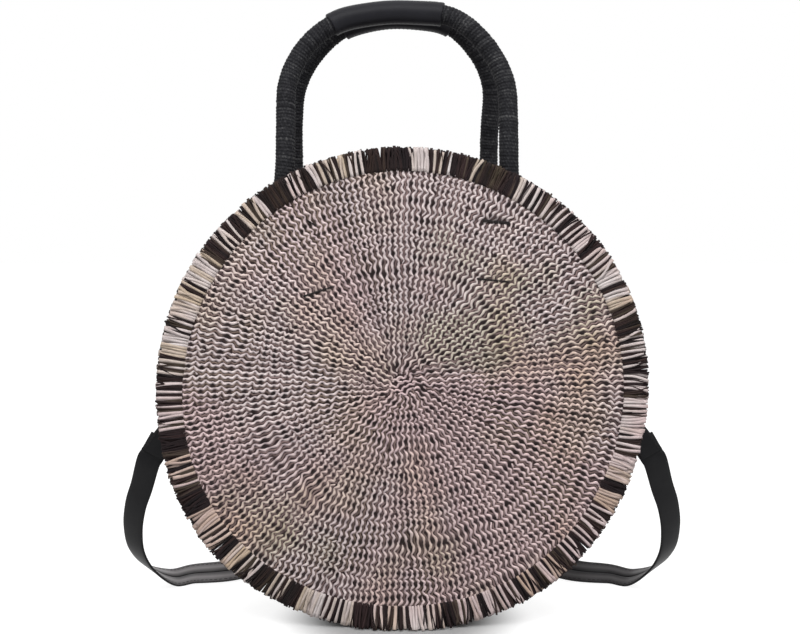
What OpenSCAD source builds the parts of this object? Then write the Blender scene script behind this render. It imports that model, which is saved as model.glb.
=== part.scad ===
// Round woven bag that stands on its rim: two domed discs joined by a gusset, a cut fringe round
// each disc, two wrapped rope handles with leather grips, a zip over the top, and a leather
// strap that swings on two side rings.
// Millimetres, +Z up, front towards -Y. The origin is the middle of the flat on which the front
// fringe rests. The back half mirrors the front half in the bag's middle plane.

/* [Body] */
// Diameter of each woven disc
panel_d = 370; // [350:1:390]
// Depth of the bag from rim to rim of the discs
bag_depth = 105; // [98:1:120]
// Thickness of a woven disc
panel_t = 4; // [3:0.1:5]
// How far a disc bulges at its middle
panel_crown = 5; // [2:0.5:8]
// Thickness of the gusset
gusset_t = 2.8; // [2:0.1:3.5]
// Thickness of the lining cloth
lining_t = 0.8; // [0.6:0.1:1.2]

/* [Fringe] */
// Length of the tufts past the disc's edge
fringe_len = 22.7; // [16:0.1:28]
// Thickness of the layer of tufts
fringe_t = 5; // [3:0.1:6]
// How far the fringe stands in front of the disc's rim
fringe_proud = 1.5; // [0.5:0.1:2]
// Number of tufts round the disc
tuft_count = 120; // [90:1:140]
// Gap between two tufts at their tips
tuft_gap = 1.6; // [1:0.1:2.5]
// Length of the root where the tufts are still joined
tuft_root = 6; // [4:0.5:9]
// How much shorter the shortest tuft is, as a share of the fringe's length
tuft_uneven_share = 0.06; // [0:0.01:0.1]
// How far the lowest tufts are pressed up by the surface they stand on
fringe_flat = 3; // [2.5:0.1:4]

/* [Handles] */
// Half of the distance between the front handle's legs
front_half_w = 97; // [90:1:104]
// Half of the distance between the rear handle's legs
rear_half_w = 89; // [86:1:104]
// Sideways place of both handles' middle
handle_offset = -5; // [-10:1:10]
// Rise of a handle's arch over its straight legs
arch_rise = 77; // [74:1:90]
// Length of a handle's straight leg over the place where it bends
leg_len = 46; // [30:1:60]
// Radius of the arch's corners
corner_r = 68; // [60:1:70]
// Diameter of the wrapped rope over the cord's turns
rope_d = 17; // [14:0.5:18]
// Diameter of the rope's core
core_d = 12.4; // [10:0.2:13]
// Distance from one turn of the wrapping cord to the next
wrap_pitch = 2.9; // [2.8:0.1:5]
// Depth of the groove between two turns
wrap_groove = 0.7; // [0.3:0.1:1]
// Diameter of the leather grip
grip_d = 20.5; // [19.5:0.5:22]
// Length of the leather grip
grip_len = 98; // [80:1:120]
// How far each grip has slid from its handle's middle
grip_slide = 5; // [0:1:10]

/* [Handle ends] */
// Width of the flat handle end that is sewn behind a disc
tab_w = 27; // [20:1:32]
// Length of the flat handle end
tab_len = 56; // [45:1:65]
// Thickness of the flat handle end
tab_t = 2.5; // [2:0.1:2.6]
// Lean of the flat handle end towards the disc's middle
tab_lean = 16; // [8:1:20]

/* [Zip] */
// Half of the angle that the zip covers over the top
zip_half_angle = 60; // [50:1:64]
// Gap between the two rows of teeth
mouth_w = 6; // [5.4:0.1:8]
// Width of a zip tape
tape_w = 12; // [10:0.5:14]
// Thickness of a zip tape
tape_t = 1; // [0.8:0.1:1.2]
// Length of a tooth across the zip
tooth_len = 3.5; // [3:0.1:4]
// Height of a tooth
tooth_h = 3.8; // [3.4:0.1:4]
// Distance from one tooth to the next
tooth_pitch = 3.6; // [3.4:0.1:5]
// Length of the slider along the zip
slider_len = 14; // [12:0.5:16]
// Length of the zip pull
pull_len = 30; // [24:1:40]
// Width of the zip pull
pull_w = 7.5; // [7:0.5:9]

/* [Side rings] */
// Diameter of the rings' wire
wire_d = 4; // [3:0.1:4.4]
// Inner width of a side ring
ring_in_w = 23; // [22:0.5:26]
// Inner height of a side ring
ring_in_h = 24; // [20:0.5:28]
// How far the rings' lower bars lie below the discs' middle
bar_drop = 25; // [22:1:30]
// Width of the leather tab round a ring, along the gusset
ring_tab_h = 15; // [12:0.5:16]
// Length of the leather tab across the gusset
ring_tab_len = 56; // [44:1:70]
// Thickness of the tab's leather
ring_tab_t = 1.4; // [1.2:0.1:1.8]

/* [Strap] */
// Width of the strap
strap_w = 22; // [19:0.5:24]
// Thickness of the strap
strap_t = 2.2; // [1.8:0.1:2.6]
// How far behind the bag's middle plane the strap reaches on the floor
strap_reach = 345; // [335:1:380]
// Length of the strap's folded ends
strap_end_len = 45; // [40:1:50]
// Thickness of one layer of a folded end
strap_end_t = 1.6; // [1.2:0.1:2]
// Outward lean of the folded ends
strap_lean = 30; // [26:1:34]

/* [Hidden] */
$fn = 96;
// Gap between pieces that are seated on each other
seat_gap = 0.3;
// Running gap between pieces that move past each other
run_gap = 0.5;
// Room between a folded handle and the fringe under it
fold_gap = 3;
// Overrun of every cut
over = 1;
// Degrees in a full turn, in half a turn and in one radian
full_turn = 360;
half_turn = full_turn / 2;
deg = half_turn / PI;

panel_r = panel_d / 2;
half_depth = bag_depth / 2;
fringe_r = panel_r + seat_gap + fringe_len;
disc_z = fringe_r - fringe_flat;
mid_y = half_depth + fringe_proud - fringe_t / 2;
dome_steps = 8;

// Gusset, with its outer face just inside the discs' rim
gusset_inset = 1.5;
gusset_r = panel_r - gusset_inset;
gusset_in_r = gusset_r - gusset_t;
gusset_half_w = half_depth - panel_t - seat_gap;
zip_from = 90 - zip_half_angle;
zip_to = 90 + zip_half_angle;
end_gap_angle = seat_gap / gusset_r * deg;

// Lining
lining_y = half_depth - panel_t - 2 * seat_gap - tab_t - lining_t;
lining_r = gusset_in_r - seat_gap;
lining_disc_r = lining_r - lining_t - seat_gap;
pocket_w = 150;
pocket_h = 110;
pocket_drop = 60;

// Zip, measured along the arc over the top
tooth_mid_r = gusset_r - gusset_t / 2;
tooth_w = tooth_pitch / 2;
tooth_neck_share = 0.6;
tooth_head_share = 0.3;
stop_len = 3.6;
stop_gap = 0.8;
tape_in_z = mouth_w / 2 + tooth_len + seat_gap;
tape_out_z = tape_in_z + tape_w;
strip_in_z = tape_out_z + seat_gap;
teeth_from = zip_from + arc_angle(stop_len + 2 * stop_gap);
teeth_to = zip_to - arc_angle(stop_len + 2 * stop_gap);
tooth_count = floor((teeth_to - teeth_from) / arc_angle(tooth_pitch));
end_tab_t = 1.2;
end_tab_len = 16;
end_tab_half_w = strip_in_z + 4;

// Zip slider and pull
plate_t = 1.6;
flange_t = 0.9;
slider_half_w = mouth_w / 2 + tooth_len + run_gap + flange_t;
slider_top_r = tooth_mid_r + tooth_h / 2 + run_gap;
slider_low_r = tooth_mid_r - tooth_h / 2 - run_gap;
slider_neck = 3.2;
slider_half_angle = arc_angle(slider_len / 2);
slider_angle = teeth_from + slider_half_angle;
pull_t = 1.6;
pull_bar_d = 1.8;
bridge_w = 2.4;
bridge_len = 9;
bridge_t = 1.4;
pull_r = slider_top_r + plate_t + run_gap + pull_bar_d / 2;
bridge_in_r = pull_r + pull_bar_d / 2 + run_gap;
pull_window = norm([bridge_len / 2, bridge_in_r + bridge_t - pull_r]) + run_gap;
pull_eye = 3.4;

// Handles: the legs bend just over the tufts that stand in front of them
rope_r = rope_d / 2;
core_r = core_d / 2;
grip_r = grip_d / 2;
leg_y = gusset_half_w - rope_r;
fringe_top = sqrt(fringe_r ^ 2 - (rear_half_w - rope_r - abs(handle_offset)) ^ 2);
bend_z = fringe_top + rope_r + fold_gap;
leg_foot_z = sqrt(gusset_in_r ^ 2 - (front_half_w + abs(handle_offset)) ^ 2) - rope_r;
handle_lean = asin((leg_y - grip_r - seat_gap) / (leg_len + arch_rise));
plain_r = rope_r - wrap_groove;
bore_r = core_r + seat_gap;
rope_sides = 8;
grip_sides = 16;
plain_step = 9;
end_drop = sqrt(rope_r ^ 2 - (bore_r + seat_gap) ^ 2);
grip_edge = 1.2;
// Angles up from its lowest point at which the core's round end has its rings
tip_angles = [80, 65, 50];

// Side rings and their tabs
wire_r = wire_d / 2;
ring_corner = 3;
tab_bore_r = wire_r + seat_gap;
ring_bar_x = gusset_r + seat_gap + ring_tab_t + tab_bore_r;
ring_out_x = ring_bar_x + ring_in_w + wire_d;
bar_x = (ring_bar_x + ring_out_x) / 2;
bar_z = disc_z - bar_drop;
ring_top_z = bar_z + ring_in_h + wire_d;
ring_tab_angle = asin((bar_drop - (ring_in_h + wire_d) / 2 - seat_gap) / gusset_r);

// Strap. Its side hangs from the ring and curls to the floor, and it lies there on its edge.
strap_end_w = ring_in_w - 2 * (ring_corner - wire_r) - run_gap;
loop_in_r = wire_r + 0.7 * run_gap;
loop_out_r = loop_in_r + strap_end_t;
slot_half = strap_t / 2 + run_gap;
end_half = slot_half + strap_end_t;
end_taper = 3 * loop_out_r;
end_neck = loop_out_r + wire_r + run_gap;
strap_lift = 0.6;
strap_steps = 4;
// Where the strap starts and leaves its folded end, as shares of the end's length
strap_start_shares = [0.62, 0.8, 1.02, 1.2];
// Places of the hanging side, as shares of the fringe's radius, the bag's depth and the bar's height
strap_side_shares = [
    [1.136, 0.09, 0.612], [1.174, 0.17, 0.5], [1.198, 0.268, 0.37],
    [1.195, 0.375, 0.236], [1.15, 0.515, 0.12],
];
// Direction from the strap's front edge to its rear edge at those places
strap_side_turn = [
    [0.91, 0.22, 0.33], [0.91, 0.34, 0.2], [0.88, 0.47, 0.05],
    [0.8, 0.59, 0.08], [0.65, 0.74, 0.16],
];
// Places beside the bag on the floor, as shares of the fringe's radius and the bag's depth
strap_near_shares = [[1.066, 0.69], [0.975, 0.775], [0.815, 0.88]];
strap_near_turn = [[0.42, 0.73, 0.54], [0.32, 0.7, 0.64], [0.18, 0.47, 0.87]];
// Places behind the bag, as shares of the fringe's radius and the strap's reach
strap_far_shares = [
    [0.673, 0.34], [0.567, 0.443], [0.529, 0.594], [0.538, 0.739], [0.471, 0.87],
    [0.298, 0.962], [0, 1],
];
strap_far_turn = [0.04, 0.1, 0.99];

// Angle at the middle of the bag that a length along the gusset takes
function arc_angle(length) = length / (panel_d / 2 - gusset_inset) * deg;
function unit(v) = v / norm(v);
function flip(v) = [-v.x, v.y, v.z];

// Stands the XY plane upright through the bag's middle, with +Z towards the front
module upright() translate([0, mid_y, disc_z]) rotate([90, 0, 0]) children();

// Mirrors a front piece to the back
module at_back() translate([0, 2 * mid_y, 0]) mirror([0, 1, 0]) children();

// A block bent round the bag's middle, between two radii, two depths and two angles
module arc_block(r_in, r_out, z_from, z_to, angle_from, angle_to)
    rotate([0, 0, angle_from])
        rotate_extrude(angle = angle_to - angle_from)
            translate([r_in, z_from])
                square([r_out - r_in, z_to - z_from]);

// Discs and fringe

// Height of the dome over its rim at a radius
function dome(r) = panel_crown * (1 - (r / panel_r) ^ 2);

module panel() {
    radii = [for (i = [0:dome_steps]) panel_r * i / dome_steps];
    inner = [for (r = radii) [r, dome(r)]];
    outer = [for (i = [dome_steps:-1:0]) [radii[i], dome(radii[i]) + panel_t]];
    upright()
        translate([0, 0, half_depth - panel_t])
            rotate_extrude()
                polygon(concat(inner, outer));
}

// Radius of a tuft's tip, a little uneven from tuft to tuft
function tuft_r(i) = fringe_r - fringe_len * tuft_uneven_share * (1 + sin(i * 137)) / 2;
// Point at a radius and angle, held up by the surface that the bag stands on
function tuft_point(r, angle) = [r * cos(angle), max(r * sin(angle), -disc_z)];

module fringe() {
    step = full_turn / tuft_count;
    tip = (step - tuft_gap / fringe_r * deg) / 2;
    outline = [
        for (i = [0:tuft_count - 1])
            let (middle = i * step - 90)
                each [
                    tuft_point(tuft_r(i), middle - tip),
                    tuft_point(tuft_r(i), middle + tip),
                    tuft_point(panel_r + seat_gap + tuft_root, middle + step / 2),
                ],
    ];
    upright()
        translate([0, 0, half_depth + fringe_proud - fringe_t])
            linear_extrude(fringe_t)
                difference() {
                    polygon(outline);
                    circle(r = panel_r + seat_gap);
                }
}

// Gusset and lining

// Clears the two legs of a handle
module leg_cuts(half_w)
    for (side = [-1, 1])
        translate([handle_offset + side * half_w, mid_y - leg_y, disc_z + leg_foot_z - seat_gap])
            cylinder(r = rope_r + seat_gap, h = fringe_r);

module gusset_band()
    upright()
        arc_block(gusset_in_r, gusset_r, -gusset_half_w, gusset_half_w,
            zip_to + end_gap_angle, full_turn + zip_from - end_gap_angle);

module gusset_top(half_w)
    difference() {
        upright() arc_block(gusset_in_r, gusset_r, strip_in_z, gusset_half_w, zip_from, zip_to);
        leg_cuts(half_w);
    }

module lining_disc(half_w)
    difference() {
        upright() translate([0, 0, lining_y]) cylinder(r = lining_disc_r, h = lining_t);
        leg_cuts(half_w);
    }

module lining_band()
    difference() {
        upright() {
            arc_block(lining_r - lining_t, lining_r, -lining_y, lining_y, zip_to, full_turn + zip_from);
            for (side = [0, 1])
                mirror([0, 0, side])
                    arc_block(lining_r - lining_t, lining_r, strip_in_z, lining_y, zip_from, zip_to);
        }
        leg_cuts(front_half_w);
        at_back() leg_cuts(rear_half_w);
    }

module inner_pocket()
    at_back()
        upright()
            translate([-pocket_w / 2, -pocket_drop - pocket_h / 2, lining_y - seat_gap - lining_t])
                cube([pocket_w, pocket_h, lining_t]);

// Zip

module zip_tape()
    upright()
        arc_block(tooth_mid_r - tape_t / 2, tooth_mid_r + tape_t / 2, tape_in_z, tape_out_z,
            zip_from, zip_to);

// One tooth with a head towards the other row
module tooth() {
    neck = tooth_len * tooth_neck_share;
    head = tooth_w * tooth_head_share;
    row = mouth_w / 2;
    translate([tooth_mid_r - tooth_h / 2, 0, 0])
        rotate([0, 90, 0])
            linear_extrude(tooth_h)
                polygon([
                    [-row, -head], [-row, head],
                    [-row - tooth_len + neck, tooth_w / 2], [-row - tooth_len, tooth_w / 2],
                    [-row - tooth_len, -tooth_w / 2], [-row - tooth_len + neck, -tooth_w / 2],
                ]);
}

module zip_teeth()
    upright()
        for (i = [0:tooth_count - 1])
            rotate([0, 0, teeth_from + (teeth_to - teeth_from) * (i + 0.5) / tooth_count])
                tooth();

module zip_stop(z_from, z_to, angle)
    arc_block(tooth_mid_r - tooth_h / 2, tooth_mid_r + tooth_h / 2, z_from, z_to,
        angle, angle + arc_angle(stop_len));

module zip_bottom_stop()
    upright()
        zip_stop(-tape_in_z + seat_gap, tape_in_z - seat_gap, zip_from + arc_angle(stop_gap));

module zip_top_stops()
    upright()
        for (side = [0, 1])
            mirror([0, 0, side])
                zip_stop(mouth_w / 2, tape_in_z - seat_gap, teeth_to + arc_angle(stop_gap));

// Leather tab over one end of the zip, from the gusset band up to the zip's stop
module zip_end_tab(angle)
    upright()
        arc_block(gusset_r + seat_gap, gusset_r + seat_gap + end_tab_t, -end_tab_half_w,
            end_tab_half_w, angle, angle + arc_angle(end_tab_len));

module slider_block(r_in, r_out, z_from, z_to, length)
    arc_block(r_in, r_out, z_from, z_to,
        slider_angle - arc_angle(length / 2), slider_angle + arc_angle(length / 2));

module zip_slider() {
    top_r = slider_top_r + plate_t;
    bridge_r = bridge_in_r + bridge_t;
    post = arc_angle(bridge_len / 2 - bridge_t);
    upright() {
        slider_block(slider_top_r, top_r, -slider_half_w, slider_half_w, slider_len);
        slider_block(slider_low_r - plate_t, slider_low_r, -slider_half_w, slider_half_w, slider_len);
        slider_block(slider_low_r, slider_top_r, -slider_neck / 2, slider_neck / 2, slider_len / 2);
        // Flanges that hold the teeth from outside and leave the tapes free
        for (side = [0, 1])
            mirror([0, 0, side]) {
                slider_block(tooth_mid_r + tape_t / 2 + run_gap, slider_top_r,
                    slider_half_w - flange_t, slider_half_w, slider_len);
                slider_block(slider_low_r, tooth_mid_r - tape_t / 2 - run_gap,
                    slider_half_w - flange_t, slider_half_w, slider_len);
            }
        // Bridge that holds the pull's bar
        slider_block(bridge_in_r, bridge_r, -bridge_w / 2, bridge_w / 2, bridge_len);
        for (side = [-1, 1])
            rotate([0, 0, side * (post + arc_angle(bridge_t / 2))])
                slider_block(top_r, bridge_in_r, -bridge_w / 2, bridge_w / 2, bridge_t);
    }
}

// The pull lies along the zip, down from the slider, with its bar under the bridge
module zip_pull() {
    body_from = pull_window;
    upright()
        rotate([0, 0, slider_angle])
            translate([pull_r, 0, 0]) {
                cylinder(d = pull_bar_d, h = pull_w, center = true);
                difference() {
                    translate([-pull_t / 2, -pull_len, -pull_w / 2])
                        cube([pull_t, pull_len, pull_w]);
                    translate([-pull_t / 2 - over, -body_from, -bridge_w / 2 - run_gap])
                        cube([pull_t + 2 * over, body_from + over, bridge_w + 2 * run_gap]);
                    translate([0, pull_eye - pull_len, 0])
                        rotate([0, 90, 0])
                            cylinder(d = pull_eye, h = pull_t + 2 * over, center = true);
                }
            }
}

// Handles

// Radius of the arch's top, which meets the corners' arcs without a kink
function top_r(half_w) =
    ((half_w - corner_r) ^ 2 + arch_rise ^ 2 - corner_r ^ 2) / (2 * (arch_rise - corner_r));
// Angle through which a corner turns
function corner_turn(half_w) = atan2(top_r(half_w) - arch_rise, half_w - corner_r);
function corner_len(half_w) = corner_r * corner_turn(half_w) / deg;
function half_len(half_w) =
    leg_len + corner_len(half_w) + top_r(half_w) * (90 - corner_turn(half_w)) / deg;

// Turn of the handle's centre line at a distance along it: 0 on the left leg, 180 on the right
function turn_at(s, half_w) =
    s > half_len(half_w) ? half_turn - turn_at(2 * half_len(half_w) - s, half_w)
    : s < leg_len ? 0
    : s < leg_len + corner_len(half_w) ? (s - leg_len) / corner_r * deg
    : corner_turn(half_w) + (s - leg_len - corner_len(half_w)) / top_r(half_w) * deg;

// Place on the centre line, measured from the middle between the places where the legs bend
function place_at(s, half_w) =
    let (turn = turn_at(s, half_w), out = [-cos(turn), 0, sin(turn)])
        s > half_len(half_w) ? flip(place_at(2 * half_len(half_w) - s, half_w))
        : s < leg_len ? [-half_w, 0, s]
        : s < leg_len + corner_len(half_w) ? [corner_r - half_w, 0, leg_len] + corner_r * out
        : [0, 0, leg_len + arch_rise - top_r(half_w)] + top_r(half_w) * out;

// A ring of points round the centre line; stations are pairs of distance and radius
function ring_at(station, half_w, sides) =
    let (turn = turn_at(station[0], half_w), centre = place_at(station[0], half_w))
        [
            for (k = [0:sides - 1])
                let (a = full_turn * (k + 0.5) / sides)
                    centre + station[1] * [-cos(a) * cos(turn), sin(a), cos(a) * sin(turn)],
        ];

// Triangles between each ring of points and the next
function ring_faces(rings, sides, closed) = [
    for (i = [0:rings - (closed ? 1 : 2)], k = [0:sides - 1])
        let (
            a = i * sides + k, b = i * sides + (k + 1) % sides,
            c = ((i + 1) % rings) * sides + k, d = ((i + 1) % rings) * sides + (k + 1) % sides
        )
            each [[a, b, d], [a, d, c]],
];
// Fans that close the first and the last ring
function end_faces(rings, sides) = [
    for (k = [1:sides - 2])
        each [[0, k + 1, k], [(rings - 1) * sides, (rings - 1) * sides + k, (rings - 1) * sides + k + 1]],
];

// A tube along the handle, closed at its ends, or a sleeve whose stations run out and back
module handle_tube(stations, half_w, sides, sleeve) {
    points = [for (s = stations) each ring_at(s, half_w, sides)];
    rings = len(stations);
    polyhedron(points,
        sleeve ? ring_faces(rings, sides, true)
        : concat(ring_faces(rings, sides, false), end_faces(rings, sides)));
}

// Even steps from one distance to another
function steps(from, to, step) =
    let (n = max(1, round((to - from) / step))) [for (i = [0:n]) from + (to - from) * i / n];
function reversed(list) = [for (i = [len(list) - 1:-1:0]) list[i]];

// Stands a handle on the places where its legs bend, leaning to the middle plane
module handle_frame()
    translate([handle_offset, mid_y - leg_y, disc_z + bend_z])
        rotate([-handle_lean, 0, 0])
            children();

// The core's round ends turn just over the legs' tops
module rope_core(half_w) {
    total = 2 * half_len(half_w);
    tip = [for (a = tip_angles) [-rope_r * sin(a), rope_r * cos(a)]];
    far_tip = [for (t = reversed(tip)) [total - t[0], t[1]]];
    body = [for (s = steps(-end_drop, total + end_drop, plain_step)) [s, core_r]];
    handle_frame() handle_tube(concat(tip, body, far_tip), half_w, rope_sides, false);
}

// Radius at a half turn counted from the rope's end; the last one, at the grip, is plain
function ridge_r(i, last) = i % 2 == 0 && i < last ? rope_r : plain_r;

// Cord wound round the core: one ridge and one groove for each turn, plain under the grip
module rope_wrap(half_w, slide) {
    total = 2 * half_len(half_w);
    grip_from = total / 2 + slide - grip_len / 2;
    grip_to = grip_from + grip_len;
    left = steps(0, grip_from, wrap_pitch / 2);
    right = steps(grip_to, total, wrap_pitch / 2);
    wound = concat(
        [for (i = [0:len(left) - 1]) [left[i], ridge_r(i, len(left) - 1)]],
        [for (s = steps(grip_from + wrap_pitch, grip_to - wrap_pitch, plain_step)) [s, plain_r]],
        [for (i = [0:len(right) - 1]) [right[i], ridge_r(len(right) - 1 - i, len(right) - 1)]]
    );
    round_end = [[-end_drop, bore_r + seat_gap], [-end_drop / 2, sqrt(rope_r ^ 2 - (end_drop / 2) ^ 2)]];
    other_end = [for (e = reversed(round_end)) [total - e[0], e[1]]];
    bore = [for (s = reversed(steps(-end_drop, total + end_drop, plain_step))) [s, bore_r]];
    handle_frame()
        handle_tube(concat(round_end, wound, other_end, bore), half_w, rope_sides, true);
}

module grip(half_w, slide) {
    from = half_len(half_w) + slide - grip_len / 2;
    to = from + grip_len;
    along = steps(from + grip_edge, to - grip_edge, plain_step);
    outer = concat([[from, grip_r - grip_edge]], [for (s = along) [s, grip_r]], [[to, grip_r - grip_edge]]);
    inner = [for (s = reversed(steps(from, to, plain_step))) [s, plain_r + seat_gap]];
    handle_frame() handle_tube(concat(outer, inner), half_w, grip_sides, true);
}

// The fixed foot of a handle's leg, from inside the gusset to just under the bend
module leg(side, half_w) {
    height = bend_z - rope_r - seat_gap - leg_foot_z;
    turns = round(height / wrap_pitch);
    profile = [
        for (i = [0:2 * turns])
            [i % 2 == 0 ? plain_r : rope_r, height * i / (2 * turns)],
    ];
    translate([handle_offset + side * half_w, mid_y - leg_y, disc_z + leg_foot_z])
        rotate_extrude()
            polygon(concat([[0, 0]], profile, [[0, height]]));
}

// Flat end of a leg, sewn between disc and lining
module handle_end(side, half_w)
    translate([handle_offset + side * half_w, mid_y - gusset_half_w, disc_z + leg_foot_z - seat_gap])
        rotate([0, side * tab_lean, 0])
            translate([-tab_w / 2, 0, -tab_len])
                difference() {
                    cube([tab_w, tab_t, tab_len]);
                    // Its top is cut level under the leg
                    translate([tab_w / 2, -over, tab_len])
                        rotate([0, -side * tab_lean, 0])
                            translate([-tab_w, 0, 0])
                                cube([2 * tab_w, tab_t + 2 * over, tab_w]);
                }

// Side rings

module ring_tab(side) {
    loop_r = ring_bar_x + tab_bore_r + ring_tab_t;
    loop_half = tab_bore_r + ring_tab_t;
    half_angle = arc_angle(ring_tab_h / 2);
    middle = side > 0 ? -ring_tab_angle : half_turn + ring_tab_angle;
    difference() {
        upright() {
            arc_block(gusset_r + seat_gap, gusset_r + seat_gap + ring_tab_t, -ring_tab_len / 2,
                ring_tab_len / 2, middle - half_angle, middle + half_angle);
            arc_block(gusset_r + seat_gap, loop_r, -loop_half, loop_half,
                middle - half_angle, middle + half_angle);
        }
        translate([side * ring_bar_x, mid_y, bar_z])
            cylinder(r = tab_bore_r, h = ring_in_h + wire_d);
    }
}

// Wire ring with four rounded corners
module side_ring(side) {
    width = ring_out_x - ring_bar_x;
    height = ring_top_z - bar_z;
    translate([side * bar_x, mid_y, (bar_z + ring_top_z) / 2])
        rotate([90, 0, 0])
            for (turn = [0, half_turn])
                rotate([0, 0, turn]) {
                    translate([width / 2, ring_corner - height / 2, 0])
                        rotate([-90, 0, 0])
                            cylinder(r = wire_r, h = height - 2 * ring_corner);
                    translate([width / 2 - ring_corner, height / 2, 0])
                        rotate([0, -90, 0])
                            cylinder(r = wire_r, h = width - 2 * ring_corner);
                    for (level = [-1, 1])
                        translate([width / 2 - ring_corner, level * (height / 2 - ring_corner), 0])
                            rotate([0, 0, level < 0 ? -90 : 0])
                                rotate_extrude(angle = 90)
                                    translate([ring_corner, 0])
                                        circle(r = wire_r);
                }
}

// Strap

// Unit directions along and across a folded end
end_along = [sin(strap_lean), 0, -cos(strap_lean)];
end_across = [cos(strap_lean), 0, sin(strap_lean)];
end_foot = [bar_x, 0, bar_z] + strap_end_len * end_along;

// Leather folded over the ring's lower bar, with the strap held between its two layers.
// Its sides are straight beside the bar, so that it swings clear of the ring's uprights.
module strap_end(side) {
    outer_foot = end_foot + strap_w / 2 * end_across;
    inner_foot = end_foot - strap_w / 2 * end_across;
    reach = bar_z - inner_foot.z + over;
    outline = [
        [bar_x - strap_end_w / 2, bar_z + loop_out_r + over],
        [bar_x + strap_end_w / 2, bar_z + loop_out_r + over],
        [bar_x + strap_end_w / 2, bar_z - end_neck],
        [outer_foot.x, outer_foot.z],
        [inner_foot.x, inner_foot.z],
        [bar_x - strap_end_w / 2, bar_z - end_neck],
    ];
    translate([0, mid_y, 0])
        mirror([side < 0 ? 1 : 0, 0, 0])
            intersection() {
                translate([0, loop_out_r + over, 0])
                    rotate([90, 0, 0])
                        linear_extrude(2 * (loop_out_r + over))
                            polygon(outline);
                translate([0, 0, bar_z])
                    rotate([90, 0, 90])
                        linear_extrude(fringe_r + strap_end_len)
                            difference() {
                                union() {
                                    circle(r = loop_out_r);
                                    polygon([
                                        [-loop_out_r, 0], [-end_half, -end_taper], [-end_half, -reach],
                                        [end_half, -reach], [end_half, -end_taper], [loop_out_r, 0],
                                    ]);
                                }
                                circle(r = loop_in_r);
                                translate([-slot_half, -reach - over])
                                    square([2 * slot_half, reach + over]);
                            }
            }
}

// Height of the strap's middle where it stands on its front edge
function floor_z(turn) = strap_lift + strap_w / 2 * turn.z + strap_t / 2 * norm([turn.x, turn.y]);

// One half of the strap, from the ring to the middle of its loop: pairs of place and turn
strap_half = concat(
    [for (share = strap_start_shares)
        [[bar_x, 0, bar_z] + share * strap_end_len * end_along, end_across]],
    [for (i = [0:len(strap_side_shares) - 1])
        let (share = strap_side_shares[i])
            [[share[0] * fringe_r, share[1] * bag_depth, share[2] * bar_z], unit(strap_side_turn[i])]],
    [for (i = [0:len(strap_near_shares) - 1])
        let (share = strap_near_shares[i], turn = unit(strap_near_turn[i]))
            [[share[0] * fringe_r, share[1] * bag_depth, floor_z(turn)], turn]],
    [for (i = [0:len(strap_far_shares) - 1])
        let (share = strap_far_shares[i], last = i == len(strap_far_shares) - 1,
            turn = unit(last ? [0, strap_far_turn.y, strap_far_turn.z] : strap_far_turn))
            [[share[0] * fringe_r, share[1] * strap_reach, floor_z(turn)], turn]]
);
strap_route = concat(
    strap_half,
    [for (i = [len(strap_half) - 2:-1:0]) [flip(strap_half[i][0]), flip(strap_half[i][1])]]
);

// Smooth curve through four values, at a share t of the way from the second to the third
function through(a, b, c, d, t) =
    (2 * b + (c - a) * t + (2 * a - 5 * b + 4 * c - d) * t ^ 2 + (3 * b - a - 3 * c + d) * t ^ 3) / 2;
function route_at(i, t, what) =
    let (last = len(strap_route) - 1, at = [for (k = [-1:2]) strap_route[min(max(i + k, 0), last)][what]])
        through(at[0], at[1], at[2], at[3], t);

module strap() {
    last = len(strap_route) - 1;
    stations = concat(
        [for (i = [0:last - 1], k = [0:strap_steps - 1])
            [route_at(i, k / strap_steps, 0), route_at(i, k / strap_steps, 1)]],
        [strap_route[last]]
    );
    count = len(stations);
    sections = [
        for (i = [0:count - 1])
            let (
                along = unit(stations[min(i + 1, count - 1)][0] - stations[max(i - 1, 0)][0]),
                turn = stations[i][1],
                across = unit(turn - (turn * along) * along) * strap_w / 2,
                through_t = unit(cross(along, across)) * strap_t / 2,
                middle = stations[i][0]
            )
                each [
                    middle - across - through_t, middle - across + through_t,
                    middle + across + through_t, middle + across - through_t,
                ],
    ];
    translate([0, mid_y, 0])
        polyhedron(sections, concat(ring_faces(count, 4, false), end_faces(count, 4)));
}

color("#a89a95") panel();  // front_panel
color("#a89a95") at_back() panel();  // back_panel
color("#5b4f48") fringe();  // front_fringe
color("#5b4f48") at_back() fringe();  // back_fringe
color("#8d817c") gusset_band();
color("#8d817c") gusset_top(front_half_w);  // gusset_top_front
color("#8d817c") at_back() gusset_top(rear_half_w);  // gusset_top_back
color("#1b1b1c") zip_tape();  // zip_tape_front
color("#1b1b1c") at_back() zip_tape();  // zip_tape_back
color("#6f6a60") zip_teeth();  // zip_teeth_front
color("#6f6a60") at_back() zip_teeth();  // zip_teeth_back
color("#6f6a60") zip_bottom_stop();
color("#6f6a60") zip_top_stops();
color("#161617") zip_end_tab(zip_to - arc_angle(stop_gap));  // zip_end_tab_left
color("#161617") zip_end_tab(zip_from + arc_angle(stop_gap - end_tab_len));  // zip_end_tab_right
color("#6f6a60") zip_slider();
color("#6f6a60") zip_pull();
color("#b8aa95") lining_disc(front_half_w);  // lining_front
color("#b8aa95") at_back() lining_disc(rear_half_w);  // lining_back
color("#b8aa95") lining_band();
color("#a5957e") inner_pocket();
color("#141415") leg(-1, front_half_w);  // front_leg_left
color("#141415") leg(1, front_half_w);  // front_leg_right
color("#141415") at_back() leg(-1, rear_half_w);  // back_leg_left
color("#141415") at_back() leg(1, rear_half_w);  // back_leg_right
color("#161617") handle_end(-1, front_half_w);  // front_end_left
color("#161617") handle_end(1, front_half_w);  // front_end_right
color("#161617") at_back() handle_end(-1, rear_half_w);  // back_end_left
color("#161617") at_back() handle_end(1, rear_half_w);  // back_end_right
color("#2a2622") rope_core(front_half_w);  // front_rope_core
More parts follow.
